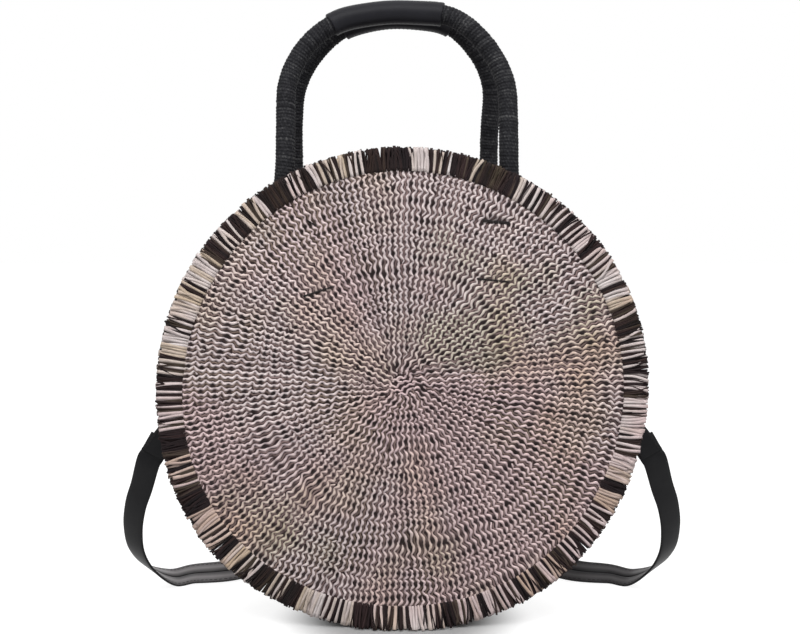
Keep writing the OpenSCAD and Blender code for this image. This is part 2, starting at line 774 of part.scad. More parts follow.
color("#141415") rope_wrap(front_half_w, -grip_slide);  // front_rope_wrap
color("#0f0f10") grip(front_half_w, -grip_slide);  // front_grip
color("#2a2622") at_back() rope_core(rear_half_w);  // back_rope_core
color("#141415") at_back() rope_wrap(rear_half_w, grip_slide);  // back_rope_wrap
color("#0f0f10") at_back() grip(rear_half_w, grip_slide);  // back_grip
color("#161617") ring_tab(-1);  // ring_tab_left
color("#161617") ring_tab(1);  // ring_tab_right
color("#6f6a60") side_ring(-1);  // side_ring_left
color("#6f6a60") side_ring(1);  // side_ring_right
color("#161617") strap();
color("#161617") strap_end(-1);  // strap_end_left
color("#161617") strap_end(1);  // strap_end_right
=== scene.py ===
"""Looks of a round woven bag that stands on its rim.

Two domed discs of zigzag weave with a cut fringe, a woven gusset with a zip over the top, two
wrapped rope handles with leather grips, and a leather strap that lies curled behind the bag.
Metres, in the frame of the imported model: +Z up, the front towards -Y.
"""
import math

import bpy
import numpy as np
from mathutils import Matrix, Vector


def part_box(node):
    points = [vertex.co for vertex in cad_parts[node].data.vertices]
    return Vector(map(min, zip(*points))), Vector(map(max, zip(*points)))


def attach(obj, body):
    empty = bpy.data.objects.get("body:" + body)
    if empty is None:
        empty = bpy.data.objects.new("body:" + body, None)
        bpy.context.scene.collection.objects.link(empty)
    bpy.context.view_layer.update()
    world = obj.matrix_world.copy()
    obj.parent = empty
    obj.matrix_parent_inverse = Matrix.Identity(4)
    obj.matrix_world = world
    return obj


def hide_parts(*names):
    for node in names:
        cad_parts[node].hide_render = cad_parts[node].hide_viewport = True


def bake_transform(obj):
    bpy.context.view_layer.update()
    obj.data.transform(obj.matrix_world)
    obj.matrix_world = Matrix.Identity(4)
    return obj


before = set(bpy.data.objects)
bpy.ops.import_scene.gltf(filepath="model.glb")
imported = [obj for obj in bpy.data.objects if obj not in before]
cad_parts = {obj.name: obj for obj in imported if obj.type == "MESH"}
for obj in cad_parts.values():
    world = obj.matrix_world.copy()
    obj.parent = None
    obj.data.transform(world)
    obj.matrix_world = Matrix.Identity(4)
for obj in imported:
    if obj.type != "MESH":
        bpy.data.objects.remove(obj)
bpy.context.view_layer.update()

MM = 0.001
TAU = 2 * math.pi
SIDES = {"front": -1, "back": 1}
HANDS = {"left": -1, "right": 1}


def box(node):
    """Middle and half size of a CAD node's box."""
    lo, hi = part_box(node)
    lo, hi = np.array(lo), np.array(hi)
    return (lo + hi) / 2, (hi - lo) / 2


# Places and sizes from the frame
PANEL, PANEL_HALF = box("front_panel")
FRINGE, FRINGE_HALF = box("front_fringe")
GUSSET, GUSSET_HALF = box("gusset_band")
STRIP, STRIP_HALF = box("gusset_top_front")
RING, RING_HALF = box("side_ring_right")
MID_Y, DISC_Z = GUSSET[1], PANEL[2]
PANEL_R, FRINGE_R, GUSSET_R = PANEL_HALF[0], FRINGE_HALF[0], GUSSET_HALF[0]
GUSSET_HALF_W = GUSSET_HALF[1]
STRIP_FROM = MID_Y - STRIP[1] - STRIP_HALF[1]
FRINGE_T = 2 * FRINGE_HALF[1]

# Sizes that the frame's boxes don't give
PANEL_T, GUSSET_T = 4 * MM, 2.8 * MM
PANEL_CROWN = 5 * MM
ZIP_ARC = ZIP_FROM, ZIP_TO = math.radians(30), math.radians(150)

# Depth of a disc's rim and of the fringe's middle, measured from the bag's middle plane
RIM = MID_Y - (PANEL[1] + PANEL_HALF[1] - PANEL_T)
FRINGE_MID = MID_Y - FRINGE[1]


# Meshes


def add_piece(name, verts, face_groups, finish, body="root", nodes=(), yarn=None):
    """A mesh from points and groups of equal-sided faces, which stands in for CAD nodes."""
    mesh = bpy.data.meshes.new(name)
    verts = np.asarray(verts, np.float32).reshape(-1, 3)
    groups = [np.asarray(group, np.int32) for group in face_groups]
    sizes = np.concatenate([np.full(len(g), g.shape[1], np.int32) for g in groups])
    starts = np.concatenate([[0], np.cumsum(sizes)[:-1]]).astype(np.int32)
    loops = np.concatenate([g.ravel() for g in groups])
    mesh.vertices.add(len(verts))
    mesh.vertices.foreach_set("co", verts.ravel())
    mesh.loops.add(len(loops))
    mesh.loops.foreach_set("vertex_index", loops)
    mesh.polygons.add(len(sizes))
    mesh.polygons.foreach_set("loop_start", starts)
    mesh.polygons.foreach_set("use_smooth", np.ones(len(sizes), bool))
    mesh.update(calc_edges=True)
    mesh.validate()
    if yarn is not None:
        layer = mesh.attributes.new("yarn", "FLOAT_VECTOR", "POINT")
        layer.data.foreach_set("vector", np.asarray(yarn, np.float32).ravel())
    obj = bpy.data.objects.new(name, mesh)
    bpy.context.scene.collection.objects.link(obj)
    mesh.materials.append(finish)
    if body:
        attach(obj, body)
    if nodes:
        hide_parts(*nodes)
    return obj


def grid(rows, columns, closed=False, start=0):
    """Quads between rows of points; closed rows join their last point to their first."""
    i = np.arange(rows - 1)[:, None] * columns
    j = np.arange(columns if closed else columns - 1)[None, :]
    k = (j + 1) % columns
    quads = np.stack([i + j, i + k, i + columns + k, i + columns + j], -1)
    return quads.reshape(-1, 4) + start


def caps(rows, columns):
    """The faces that close the first row and the last."""
    row = np.arange(columns)
    return np.stack([row[::-1], row + (rows - 1) * columns])


def shell(name, rings, finish, body="root", nodes=(), yarn=None, turned=False):
    """A closed piece from rings of points; its faces are turned where these run backwards."""
    rows, columns = rings.shape[:2]
    faces = [grid(rows, columns, True), caps(rows, columns)]
    if turned:
        faces = [group[:, ::-1] for group in faces]
    if yarn is None:
        yarn = np.zeros((rows * columns, 3))
    return add_piece(name, rings, faces, finish, body, nodes, yarn)


def unit(v):
    return v / np.maximum(np.linalg.norm(v, axis=-1, keepdims=True), 1e-12)


def along(path):
    """Direction of a path at each of its places."""
    return unit(np.gradient(path, axis=0))


def beside(path, up):
    """Direction across a path at each of its places."""
    return unit(np.cross(along(path), up))


def round_angles(count, start=0.0):
    return TAU * (np.arange(count) + start) / count


def rays(a):
    return np.stack([np.cos(a), np.sin(a)], -1)


def lengths_along(path):
    return np.concatenate([[0], np.cumsum(np.linalg.norm(np.diff(path, axis=0), axis=1))])


class Strands:
    """Many thin swept strands gathered into one mesh."""

    def __init__(self):
        self.verts, self.yarn, self.quads, self.ends, self.count = [], [], [], [], 0

    def add(self, path, across, up, profile, shade, closed=True, lengths=None):
        """Sweeps a profile, points of (across, up) for each station, along a path."""
        rows, columns = profile.shape[:2]
        across, up = (np.broadcast_to(v, path.shape)[:, None] for v in (across, up))
        points = path[:, None] + profile[..., :1] * across + profile[..., 1:] * up
        data = np.empty((rows, columns, 3))
        data[..., 0] = (lengths_along(path) if lengths is None else lengths)[:, None]
        data[..., 1] = np.arange(columns) / columns
        data[..., 2] = shade
        self.verts.append(points.reshape(-1, 3))
        self.yarn.append(data.reshape(-1, 3))
        self.quads.append(grid(rows, columns, closed, self.count))
        if closed:
            self.ends.append(caps(rows, columns) + self.count)
        self.count += rows * columns

    def piece(self, name, finish, slot, body="root", nodes=()):
        faces = [np.concatenate(group) for group in (self.quads, self.ends) if group]
        verts, yarn = np.concatenate(self.verts), np.concatenate(self.yarn)
        return add_piece(name, verts, faces, finish, body, nodes, yarn)


def oval(width, height, sides, rows):
    """Closed oval profile for each row; width and height may differ from row to row."""
    size = np.stack([np.broadcast_to(v, rows) for v in (width, height)], -1)
    return size[:, None] / 2 * rays(round_angles(sides, 0.5))


def arched(width, height):
    """Open profile that arches over its own width, for each row."""
    a = np.linspace(0, np.pi, 5)
    return np.stack([width[:, None] / 2 * np.cos(a), height[:, None] * np.sin(a)], -1)


# Materials


class Nodes:
    """Short ways to add nodes to a tree."""

    def __init__(self, tree):
        self.nodes, self.links = tree.nodes, tree.links

    def node(self, kind, inputs=None, **settings):
        """The outputs of a new node, with values or other nodes' outputs on its inputs."""
        node = self.nodes.new("ShaderNode" + kind)
        for key, value in settings.items():
            setattr(node, key, value)
        for key, value in (inputs or {}).items():
            if isinstance(value, bpy.types.NodeSocket):
                self.links.new(value, node.inputs[key])
            else:
                node.inputs[key].default_value = value
        return node.outputs

    def math(self, operation, a, b=0.0):
        return self.node("Math", {0: a, 1: b}, operation=operation)[0]

    def background_rays(self):
        """1 for camera, glossy and transmission rays, which see the white background."""
        kinds = self.node("LightPath")
        seen = self.math("ADD", kinds["Is Camera Ray"], kinds["Is Glossy Ray"])
        return self.math("ADD", seen, kinds["Is Transmission Ray"])


class Finish(Nodes):
    """A material whose colour, roughness and bump come from nodes."""

    def __init__(self, name, roughness, **sockets):
        self.material = bpy.data.materials.new(name)
        self.material.use_nodes = True
        super().__init__(self.material.node_tree)
        self.shader = self.nodes["Principled BSDF"].inputs
        self.shader["Roughness"].default_value = roughness
        for socket, value in sockets.items():
            self.shader[socket.replace("_", " ")].default_value = value

    def place(self):
        return self.node("TexCoord")["Object"]

    def yarn(self):
        """Distance along, share round and shade of the strand."""
        return self.node("Attribute", attribute_name="yarn")["Vector"]

    def part(self, vector, axis):
        return self.node("SeparateXYZ", {"Vector": vector})[axis]

    def noise(self, vector, scale, detail=3.0, roughness=0.55):
        inputs = {"Vector": vector, "Scale": scale, "Detail": detail, "Roughness": roughness}
        return self.node("TexNoise", inputs)["Fac"]

    def ramp(self, factor, stops):
        """Colours at places from 0 to 1."""
        colour = self.node("ValToRGB", {"Fac": factor})["Color"]
        elements = colour.node.color_ramp.elements
        while len(elements) < len(stops):
            elements.new(0.5)
        for element, (place, stop) in zip(elements, stops):
            element.position = place
            element.color = (*stop, 1)
        return colour

    def mix(self, factor, a, b, mode="MIX"):
        """Mixes output a with b, an output or a colour."""
        b = b if isinstance(b, bpy.types.NodeSocket) else (*b, 1)
        return self.node("Mix", {0: factor, 6: a, 7: b}, data_type="RGBA", blend_type=mode)[2]

    def colour(self, value):
        self.links.new(value, self.shader["Base Color"])

    def rough(self, factor, low, high):
        inputs = {"Value": factor, "To Min": low, "To Max": high}
        self.links.new(self.node("MapRange", inputs)[0], self.shader["Roughness"])

    def bump(self, height, distance, strength=1.0):
        """Adds to the bump that is there already."""
        inputs = {"Height": height, "Distance": distance, "Strength": strength}
        normal = self.shader["Normal"]
        if normal.is_linked:
            inputs["Normal"] = normal.links[0].from_socket
        self.links.new(self.node("Bump", inputs)["Normal"], normal)


def twisted_yarn(name, stops, patches, roughness=0.85, twist=700.0, sheen=0.15):
    """Yarn whose colour follows its shade, with broad patches of tint and a fine twist."""
    finish = Finish(name, roughness, Specular_IOR_Level=0.15, Sheen_Weight=sheen,
                    Sheen_Roughness=0.5)
    yarn = finish.yarn()
    colour = finish.ramp(finish.part(yarn, "Z"), stops)
    for index, (tint, scale, low, high) in enumerate(patches):
        shift = {"Vector": finish.place(), "Location": (index * 3.7, index * 1.9, 0.4)}
        cloud = finish.noise(finish.node("Mapping", shift)["Vector"], scale, 2.0)
        share = finish.ramp(cloud, [(low, (0, 0, 0)), (high, (1, 1, 1))])
        colour = finish.mix(finish.part(share, "X"), colour, tint, "MULTIPLY")
    fine = finish.node("Mapping", {"Vector": yarn, "Scale": (160.0, 3.0, 40.0)})["Vector"]
    wear_and_sheen_fade = finish.ramp(finish.noise(fine, 1.0, 2.0), [(0.3, (0.78, 0.76, 0.75)), (0.7, (1, 1, 1))])
    finish.colour(finish.mix(1.0, colour, wear_and_sheen_fade, "MULTIPLY"))
    slant = finish.math("ADD", finish.math("MULTIPLY", finish.part(yarn, "X"), twist),
                        finish.math("MULTIPLY", finish.part(yarn, "Y"), TAU))
    finish.bump(finish.math("SINE", slant), 0.12 * MM, 0.6)
    return finish.material


def wound_cord(name, stops, beads, lay):
    """Twisted cord wound in close turns: beads round each turn, with painted highlights on their
    tops and painted shade in the grooves.
    """
    finish = Finish(name, 0.8, Specular_IOR_Level=0.13)
    yarn = finish.yarn()
    turn = finish.math("MULTIPLY", finish.part(yarn, "Y"), TAU * beads)
    lean = finish.math("MULTIPLY", finish.part(yarn, "X"), lay)
    bead = finish.math("SINE", finish.math("ADD", turn, lean))
    fuzz = finish.noise(finish.place(), 430.0, 5.0, 0.75)
    spread = finish.math("MULTIPLY", finish.math("SUBTRACT", fuzz, 0.5), 2.4)
    # Painted highlight on each bead's raised top
    shade = finish.math("ADD", finish.part(yarn, "Z"), finish.math("MULTIPLY", bead, 0.07))
    finish.colour(finish.ramp(finish.math("ADD", shade, spread), stops))
    finish.bump(bead, 0.10 * MM, 0.6)
    finish.bump(fuzz, 0.45 * MM, 0.7)
    return finish.material


def leather(name, low, high, roughness, gloss, inside=None):
    """Leather with a fine pebble, soft creases and, where shade is 1, its paler inner side, whose
    colour on the strap is partly its own and partly painted sheen.
    """
    finish = Finish(name, roughness, Specular_IOR_Level=gloss)
    place = finish.place()
    cloud = finish.noise(place, 38.0, 4.0)
    colour = finish.ramp(cloud, [(0.3, low), (0.7, high)])
    if inside:
        colour = finish.mix(finish.part(finish.yarn(), "Z"), colour, inside)
    finish.colour(colour)
    finish.rough(cloud, roughness - 0.07, roughness + 0.08)
    finish.bump(finish.node("TexVoronoi", {"Vector": place, "Scale": 900.0})["Distance"],
                0.05 * MM, 0.5)
    finish.bump(finish.noise(place, 160.0, 3.0), 0.25 * MM, 0.35)
    return finish.material


def metal(name, colour, roughness):
    finish = Finish(name, roughness, Metallic=1.0)
    cloud = finish.noise(finish.place(), 420.0, 3.0)
    finish.colour(finish.ramp(cloud, [(0.3, tuple(c * 0.8 for c in colour)), (0.75, colour)]))
    finish.rough(cloud, roughness - 0.08, roughness + 0.12)
    finish.bump(finish.noise(finish.place(), 1500.0, 2.0), 0.02 * MM, 0.4)
    return finish.material


def cloth(name, low, high, threads):
    """Plain woven cloth with threads across and along."""
    finish = Finish(name, 0.9, Specular_IOR_Level=0.15, Sheen_Weight=0.1)
    place = finish.place()
    wave_x, wave_z = (
        finish.math("SINE", finish.math("MULTIPLY", finish.part(place, axis), threads))
        for axis in "XZ")
    weave = finish.math("MULTIPLY", wave_x, wave_z)
    cloud = finish.math("ADD", finish.math("MULTIPLY", weave, 0.18),
                        finish.noise(place, 60.0, 4.0))
    finish.colour(finish.ramp(cloud, [(0.3, low), (0.7, high)]))
    finish.bump(weave, 0.08 * MM, 0.6)
    return finish.material


TAN = (1.0, 0.91, 0.74)
ROSE = (1.0, 0.90, 0.91)
MOSS = (0.88, 0.92, 0.78)
MOSS_PATCHES = [(MOSS, 10.0, 0.5, 0.6)]
PALE_YARN = twisted_yarn(
    "pale_yarn",
    [(0.0, (0.36, 0.30, 0.31)), (0.5, (0.56, 0.475, 0.48)), (1.0, (0.71, 0.62, 0.615))],
    [(TAN, 9.0, 0.50, 0.68), (ROSE, 7.0, 0.48, 0.62), (MOSS, 12.0, 0.56, 0.70)])
DARK_YARN = twisted_yarn(
    "dark_yarn",
    [(0.0, (0.014, 0.008, 0.008)), (0.4, (0.045, 0.028, 0.029)), (1.0, (0.235, 0.165, 0.16))],
    MOSS_PATCHES)
PALE_FRINGE = twisted_yarn(
    "pale_fringe",
    [(0.0, (0.47, 0.385, 0.305)), (0.3, (0.50, 0.425, 0.375)),
     (0.55, (0.54, 0.475, 0.465)), (1.0, (0.58, 0.53, 0.52))],
    [(TAN, 9.0, 0.55, 0.75), (ROSE, 7.0, 0.48, 0.62)], 0.8, 300.0)
DARK_FRINGE = twisted_yarn(
    "dark_fringe",
    [(0.0, (0.010, 0.007, 0.008)), (0.4, (0.018, 0.011, 0.012)),
     (0.75, (0.032, 0.018, 0.018)), (1.0, (0.062, 0.046, 0.036))],
    MOSS_PATCHES, 0.85, 300.0, 0.03)
CORD = wound_cord(
    "wrapping_cord",
    [(0.0, (0.004, 0.004, 0.005)), (0.45, (0.010, 0.010, 0.012)),
     (0.8, (0.026, 0.026, 0.028)), (1.0, (0.060, 0.060, 0.060))],
    21, 1100.0)
CORE = twisted_yarn(
    "rope_core", [(0.0, (0.03, 0.025, 0.02)), (1.0, (0.06, 0.05, 0.04))], [], 0.9, 300.0)
GRIP_LEATHER = leather("grip_leather", (0.004, 0.004, 0.006), (0.009, 0.009, 0.012), 0.48, 0.15)
# The strap's inner colour is partly its own paler backing and partly painted sheen
STRAP_LEATHER = leather(
    "strap_leather", (0.005, 0.005, 0.006), (0.010, 0.010, 0.011), 0.38, 0.11, (0.33, 0.315, 0.32))
BLACK_LEATHER = leather("black_leather", (0.007, 0.007, 0.008), (0.012, 0.011, 0.012), 0.42, 0.15)
DARK_METAL = metal("dark_metal", (0.26, 0.25, 0.23), 0.32)
ZIP_METAL = metal("zip_metal", (0.42, 0.39, 0.33), 0.35)
ZIP_TAPE = cloth("zip_tape", (0.010, 0.010, 0.011), (0.020, 0.020, 0.021), 5200.0)
LINING = cloth("lining_cloth", (0.42, 0.36, 0.29), (0.52, 0.45, 0.37), 4200.0)
THREAD = cloth("dark_thread", (0.010, 0.008, 0.008), (0.022, 0.018, 0.018), 6000.0)


# Woven discs

# Distance from yarn to yarn, which grows between two radii
PITCH_MIDDLE, PITCH_RIM = 4.2 * MM, 4.68 * MM
PITCH_GROWS = (40 * MM, 95 * MM)
WEAVE_START = 9 * MM
WEAVE_RISE = 5.5 * MM
SWIRL_R = 9 * MM
NEW_YARN_LEN = 5 * MM
NEW_YARN_SINK = 0.9 * MM

# The zigzag's repeat, its swings and the stations in a repeat
ZIGZAG = 11.6 * MM
ZIGZAG_WIDE = 0.66 * MM
ZIGZAG_RIM = 0.36 * MM
ZIGZAG_FINE = 0.80 * MM
ZIGZAG_STEPS = 11

# How unevenly the repeats lie: waves, their lengths, and their effect as a share of a repeat
DRIFT_WAVES = 40
DRIFT_LENGTHS = (35 * MM, 90 * MM)
PHASE_DRIFT = 0.21

# Pale yarns' width as a share of the pitch, and the dark ones' where they float on top
PALE_SHARE = 0.45
PALE_H = 1.3 * MM
DARK_W, DARK_H = 1.5 * MM, 0.7 * MM
FLOAT_W, FLOAT_H = 2.2 * MM, 0.9 * MM
FLOAT_SHARE = 0.17

# Where the soft rim and the fringe's tips stand out past a circle: degrees, width, millimetres
RIM_SWELL = ((15, 40, 4.0), (95, 60, 1.5), (218, 38, 6.5), (310, 40, 4.0))
TIP_SWELL = ((25, 30, 2.0), (218, 26, 6.5), (312, 20, 2.5))
SAG = 0.8 * MM


def zigzag(phase, rim=0.5):
    """Sideways swing of a yarn: a tall and a short peak in each repeat, taller at the rim."""
    wide = ZIGZAG_WIDE + rim * ZIGZAG_RIM
    return -wide * np.cos(TAU * phase) - ZIGZAG_FINE * np.cos(2 * TAU * phase)


def drifting(rng):
    """A function of smooth random unevenness over a plane, of about unit size."""
    turn = rng.uniform(0, TAU, DRIFT_WAVES)
    rate = TAU / rng.uniform(*DRIFT_LENGTHS, DRIFT_WAVES)
    start = rng.uniform(0, TAU, DRIFT_WAVES)

    def drift(x, z):
        across = np.multiply.outer(x, rate * np.cos(turn))
        up = np.multiply.outer(z, rate * np.sin(turn))
        return np.sin(across + up + start).sum(-1) * math.sqrt(2 / DRIFT_WAVES)

    return drift


def soft_wave(a, b, seed):
    """Slow unevenness between -1 and 1."""
    return (np.sin(3 * a + 5 * b + seed) + np.sin(-4 * a + 7 * b + 2.3 * seed)
            + np.sin(9 * a - 2 * b + 4.1 * seed)) / 3


def dark_floats(rng, phase):
    """From 0 to 1, where a dark yarn lies on top once in each repeat, here more and there less."""
    number = np.floor(phase).astype(int)
    number -= number.min()
    strength = np.clip(rng.normal(0.50, 0.45, number.max() + 1), 0, 1)
    return strength[number] * np.exp(-((phase - np.floor(phase) - 0.5) / FLOAT_SHARE) ** 2)


def pitch_at(r):
    return np.interp(r, PITCH_GROWS, (PITCH_MIDDLE, PITCH_RIM))


def grow_yarns(rng, start, end, step):
    """Yarns that run outwards from the middle, with a new one wherever two lie too far apart.

    Returns for each ring its radius, the yarns' angles in order round the disc and their
    numbers, and then how many yarns there are.
    """
    count = max(3, round(TAU * start / pitch_at(start)))
    angles = np.sort(TAU * (np.arange(count) + rng.uniform(-0.2, 0.2, count)) / count)
    numbers = np.arange(count)
    rings = []
    for r in np.arange(start, end + step / 2, step):
        while len(angles) < round(TAU * r / pitch_at(r)):
            gaps = np.diff(np.append(angles, angles[0] + TAU))
            widest = np.argsort(gaps)[-max(2, len(gaps) // 12):]
            i = rng.choice(widest)
            angles = np.insert(angles, i + 1, angles[i] + gaps[i] / 2)
            numbers = np.insert(numbers, i + 1, count)
            count += 1
        for _ in range(4):
            before, after = np.roll(angles, 1), np.roll(angles, -1)
            before[0] -= TAU
            after[-1] += TAU
            angles = angles + 0.32 * ((before + after) / 2 - angles)
        rings.append((r, angles, numbers))
    return rings, count


def yarn_paths(rings, count):
    """For each yarn its radii, its angles and the angles halfway to the next yarn."""
    paths = [[] for _ in range(count)]
    for r, angles, numbers in rings:
        after = np.append(angles[1:], angles[0] + TAU)
        for angle, middle, number in zip(angles, (angles + after) / 2, numbers):
            paths[number].append((r, angle, middle))
    return [np.array(p) for p in paths if len(p) > 4]


def bulges_at(angle, bulges):
    """The sum of soft bulges round the disc at an angle."""
    out = 0.0
    for place, width, amount in bulges:
        away = (np.degrees(angle) - place + 180) % 360 - 180
        out = out + amount * np.exp(-(away / width) ** 2)
    return out


def soft_rim(r, angle):
    """Radius on the real, slightly uneven disc."""
    return r + MM * bulges_at(angle, RIM_SWELL) * (r / PANEL_R) ** 3


def disc_point(r, angle, height, side, dents=()):
    """A point on a disc, side -1 at the front and 1 at the back, height over its face."""
    x, z = r * np.cos(angle), r * np.sin(angle)
    inside = 1 - (r / PANEL_R) ** 4
    sag = SAG * soft_wave(x / PANEL_R, z / PANEL_R, 1.7 * side) * inside
    depth = RIM + PANEL_CROWN * (1 - (r / PANEL_R) ** 2) + sag + height
    for (cx, cz), (wide, tall), dip in dents:
        depth = depth - dip * np.exp(-(((x - cx) / wide) ** 2 + ((z - cz) / tall) ** 2))
    return np.stack([x, MID_Y + side * depth, DISC_Z + z], -1)


def pattern_place(r, angle):
    """The weave's rings, which start a little above the disc's middle and end on its rim."""
    angle = angle + 0.9 * np.exp(-r / SWIRL_R)
    rise = WEAVE_RISE * (1 - (r / PANEL_R) ** 2)
    r = soft_rim(r, angle)
    return r * np.cos(angle), rise + r * np.sin(angle)


def lay_yarn(strands, x, z, side, dents, width, height, shade, sink=0.0):
    """A flat arched yarn along places on a disc's face."""
    rows = len(x)
    width, height, shade = (np.broadcast_to(v, rows) for v in (width, height, shade))
    flat = np.stack([x, np.zeros(rows), z], -1)
    centre = disc_point(np.hypot(x, z), np.arctan2(z, x), -sink, side, dents)
    strands.add(centre, beside(flat, [0, side, 0]), [0, side, 0], arched(-width, height),
                shade[:, None], closed=False)


def weave(side, seed, dents):
    """Pale zigzag yarns with dark ones between them."""
    rng = np.random.default_rng(seed)
    step = ZIGZAG / ZIGZAG_STEPS
    rings, count = grow_yarns(rng, WEAVE_START, PANEL_R, step)
    drift = drifting(rng)
    pale, dark = Strands(), Strands()
    for path in yarn_paths(rings, count):
        r, angle, middle = path.T
        rows = len(r)
        offset = rng.normal(0, 0.08)
        # A yarn that begins between others starts thin and low
        new = r[0] > WEAVE_START + step
        fresh = np.clip((r - r[0]) / NEW_YARN_LEN, 0, 1) if new else np.ones(rows)
        sink = NEW_YARN_SINK * (1 - fresh)
        fresh = 0.7 + 0.3 * fresh
        for strands, base in ((pale, angle), (dark, middle)):
            phase = r / ZIGZAG + offset + PHASE_DRIFT * drift(r * np.cos(base), r * np.sin(base))
            uneven = 1 + 0.25 * soft_wave(23 * r / PANEL_R, 9 * base, seed + 1)
            swing = zigzag(phase, (r / PANEL_R) ** 2) * uneven + rng.normal(0, 0.12 * MM, rows)
            x, z = pattern_place(r, base + swing / r)
            floats = dark_floats(rng, phase)
            peaks = np.cos(2 * TAU * phase)  # 1 where a pale yarn is thin and low
            if strands is pale:
                wide = 1 - 0.20 * peaks + rng.normal(0, 0.05, rows)
                width = PALE_SHARE * pitch_at(r) * fresh * wide
                height = PALE_H * fresh * (0.85 - 0.15 * peaks)
                # Random tone, with painted shade near where the yarn runs thin and low between its
                # raised stretches
                shade = rng.normal(0.55, 0.13) - 0.32 * np.cos(2 * TAU * phase + 0.5)
                shade = shade + rng.normal(0, 0.07, rows)
            else:
                width = (DARK_W + FLOAT_W * floats) * fresh
                height = (DARK_H + FLOAT_H * floats) * fresh
                shade = rng.normal(0.80, 0.10) - floats
            lay_yarn(strands, x, z, side, dents, width, height, np.clip(shade, 0, 1), sink)
    close_middle(pale, side, dents)
    return pale, dark


def close_middle(pale, side, dents):
    """Four short yarns side by side over the hole in the weave's middle, and a loop on them."""
    turn, rows = 0.42, 15
    width = PALE_SHARE * PITCH_MIDDLE
    t = np.linspace(-1, 1, rows)
    for i in range(4):
        place = i - 1.5
        half = math.sqrt(1 - (0.55 * place) ** 2) * (WEAVE_START + 2 * MM)
        reach, out = half * t, place * PITCH_MIDDLE + zigzag(half * t / ZIGZAG + 0.2 * i)
        x = reach * math.cos(turn) - out * math.sin(turn)
        z = WEAVE_RISE + reach * math.sin(turn) + out * math.cos(turn) - 1.5 * MM * (1 - t ** 2)
        lay_yarn(pale, x, z, side, dents, width, PALE_H, 0.5)
    loop = np.linspace(0.3, 5.4, rows)
    x, z = 2.6 * MM * np.cos(loop) - 1.5 * MM, WEAVE_RISE + (4.2 + 2.2 * np.sin(loop)) * MM
    lay_yarn(pale, x, z, side, dents, 0.9 * width, 1.5 * PALE_H, 0.75)


def disc_ground(name, side, dents, node):
    """The dark ground under the yarns: a closed shell with the disc's dome."""
    radii = np.linspace(1 * MM, PANEL_R, 60)
    r, a = np.meshgrid(radii, round_angles(180), indexing="ij")
    r = soft_rim(r, a)
    face = disc_point(r, a, 0, side, dents)
    back = disc_point(r[::-1], a, -PANEL_T, side, dents)
    yarn = np.stack([np.tile(r.ravel(), 2), np.tile(a.ravel(), 2), np.full(2 * r.size, 0.3)], -1)
    shell(name, np.concatenate([face, back]), DARK_YARN, nodes=[node], yarn=yarn,
          turned=side > 0)


# Stitch rows that hold the handle ends, upper and lower: shift from the end's corner, length,
# slope, and how hard they pull
STITCHES = {"left": ((25 * MM, 2 * MM, 8 * MM, -0.6, 0.4), (19 * MM, -7 * MM, 25 * MM, 0.32, 0.6)),
            "right": ((-12 * MM, 3 * MM, 23 * MM, -0.1, 1.5),
                      (-3 * MM, 2.5 * MM, 28 * MM, -0.1, 0.6))}
STITCH_LEN = 5 * MM
STITCH_DIP = 2.4 * MM


def stitch_places(which):
    """The middle of each stitch row on a disc, its length, slope and pull."""
    rows = []
    for hand, (upper, lower) in STITCHES.items():
        middle, half = box(f"{which}_end_{hand}")
        upper_x = middle[0] + HANDS[hand] * (half[0] - 14 * MM)
        lower_x = middle[0] - HANDS[hand] * (half[0] - 16 * MM)
        upper_z, lower_z = middle[2] + half[2] - 1 * MM, middle[2] - half[2] + 8 * MM
        for x, z, (dx, dz, *rest) in ((upper_x, upper_z, upper), (lower_x, lower_z, lower)):
            rows.append((x + dx, z + dz - DISC_Z, *rest))
    return rows


def stitch_rows(name, side, places, dents):
    """Short dark stitches in rows, pulled into the weave."""
    strands = Strands()
    t = np.linspace(-0.5, 0.5, 9)
    for x, z, length, slope, pull in places:
        count = max(2, round(length / STITCH_LEN))
        lift = (0.4 + 0.95 * pull + 0.7 * np.sqrt(np.cos(t * np.pi) + 0.001)) * MM
        for i in range(count):
            along_row = ((i + 0.5 + 0.94 * t) / count - 0.5) * length
            sx, sz = x + along_row, z + slope * along_row
            path = disc_point(np.hypot(sx, sz), np.arctan2(sz, sx), lift, side, dents)
            up = [0, side, 0]
            profile = oval((1.1 + 1.0 * pull) * MM, 1.0 * MM, 8, len(t))
            strands.add(path, beside(path, up), up, profile, 0.2)
    strands.piece(name, THREAD, "woven_disc")


for which, seed in (("front", 11), ("back", 29)):
    side, places = SIDES[which], stitch_places(which)
    dents = [((x, z), (length / 2 + 3 * MM, 3.5 * MM), STITCH_DIP * pull)
             for x, z, length, _, pull in places]
    disc_ground(f"{which}_disc_ground", side, dents, f"{which}_panel")
    pale, dark = weave(side, seed, dents)
    pale.piece(f"{which}_pale_yarns", PALE_YARN, "woven_disc")
    dark.piece(f"{which}_dark_yarns", DARK_YARN, "woven_disc")
    stitch_rows(f"{which}_stitches", side, places, dents)


# Fringe

STRAND_PITCH = 2.6 * MM
STRAND_W = 2.5 * MM
STRAND_H = 1.0 * MM
STRAND_ROWS = 7
ROOT_IN = 1.6 * MM
ROOT_OVER = 1.3 * MM
# Depth of each layer behind the fringe's front, its share of forward bend, how often its pale
# strands stay pale, how loose its strands lie, and how wide they are
STRAND_LAYERS = ((4.1 * MM, 0.45, 0.15, 0.1, 1.5), (2.6 * MM, 0.75, 0.60, 0.6, 1.1),
                 (1.0 * MM, 1.0, 1.0, 1.0, 1.0))
# Where the fringe has more pale tufts or fewer: degrees round the disc, width, share
TUFTS = ((45, 13, 0.20), (345, 15, 0.22), (205, 20, 0.12), (82, 17, -0.24), (120, 9, -0.16),
         (15, 9, -0.12), (285, 8, -0.12))
# How much wider a strand is at its root and at its tip
PALE_SPREAD, DARK_SPREAD = (1.05, 1.35), (1.15, 1.45)
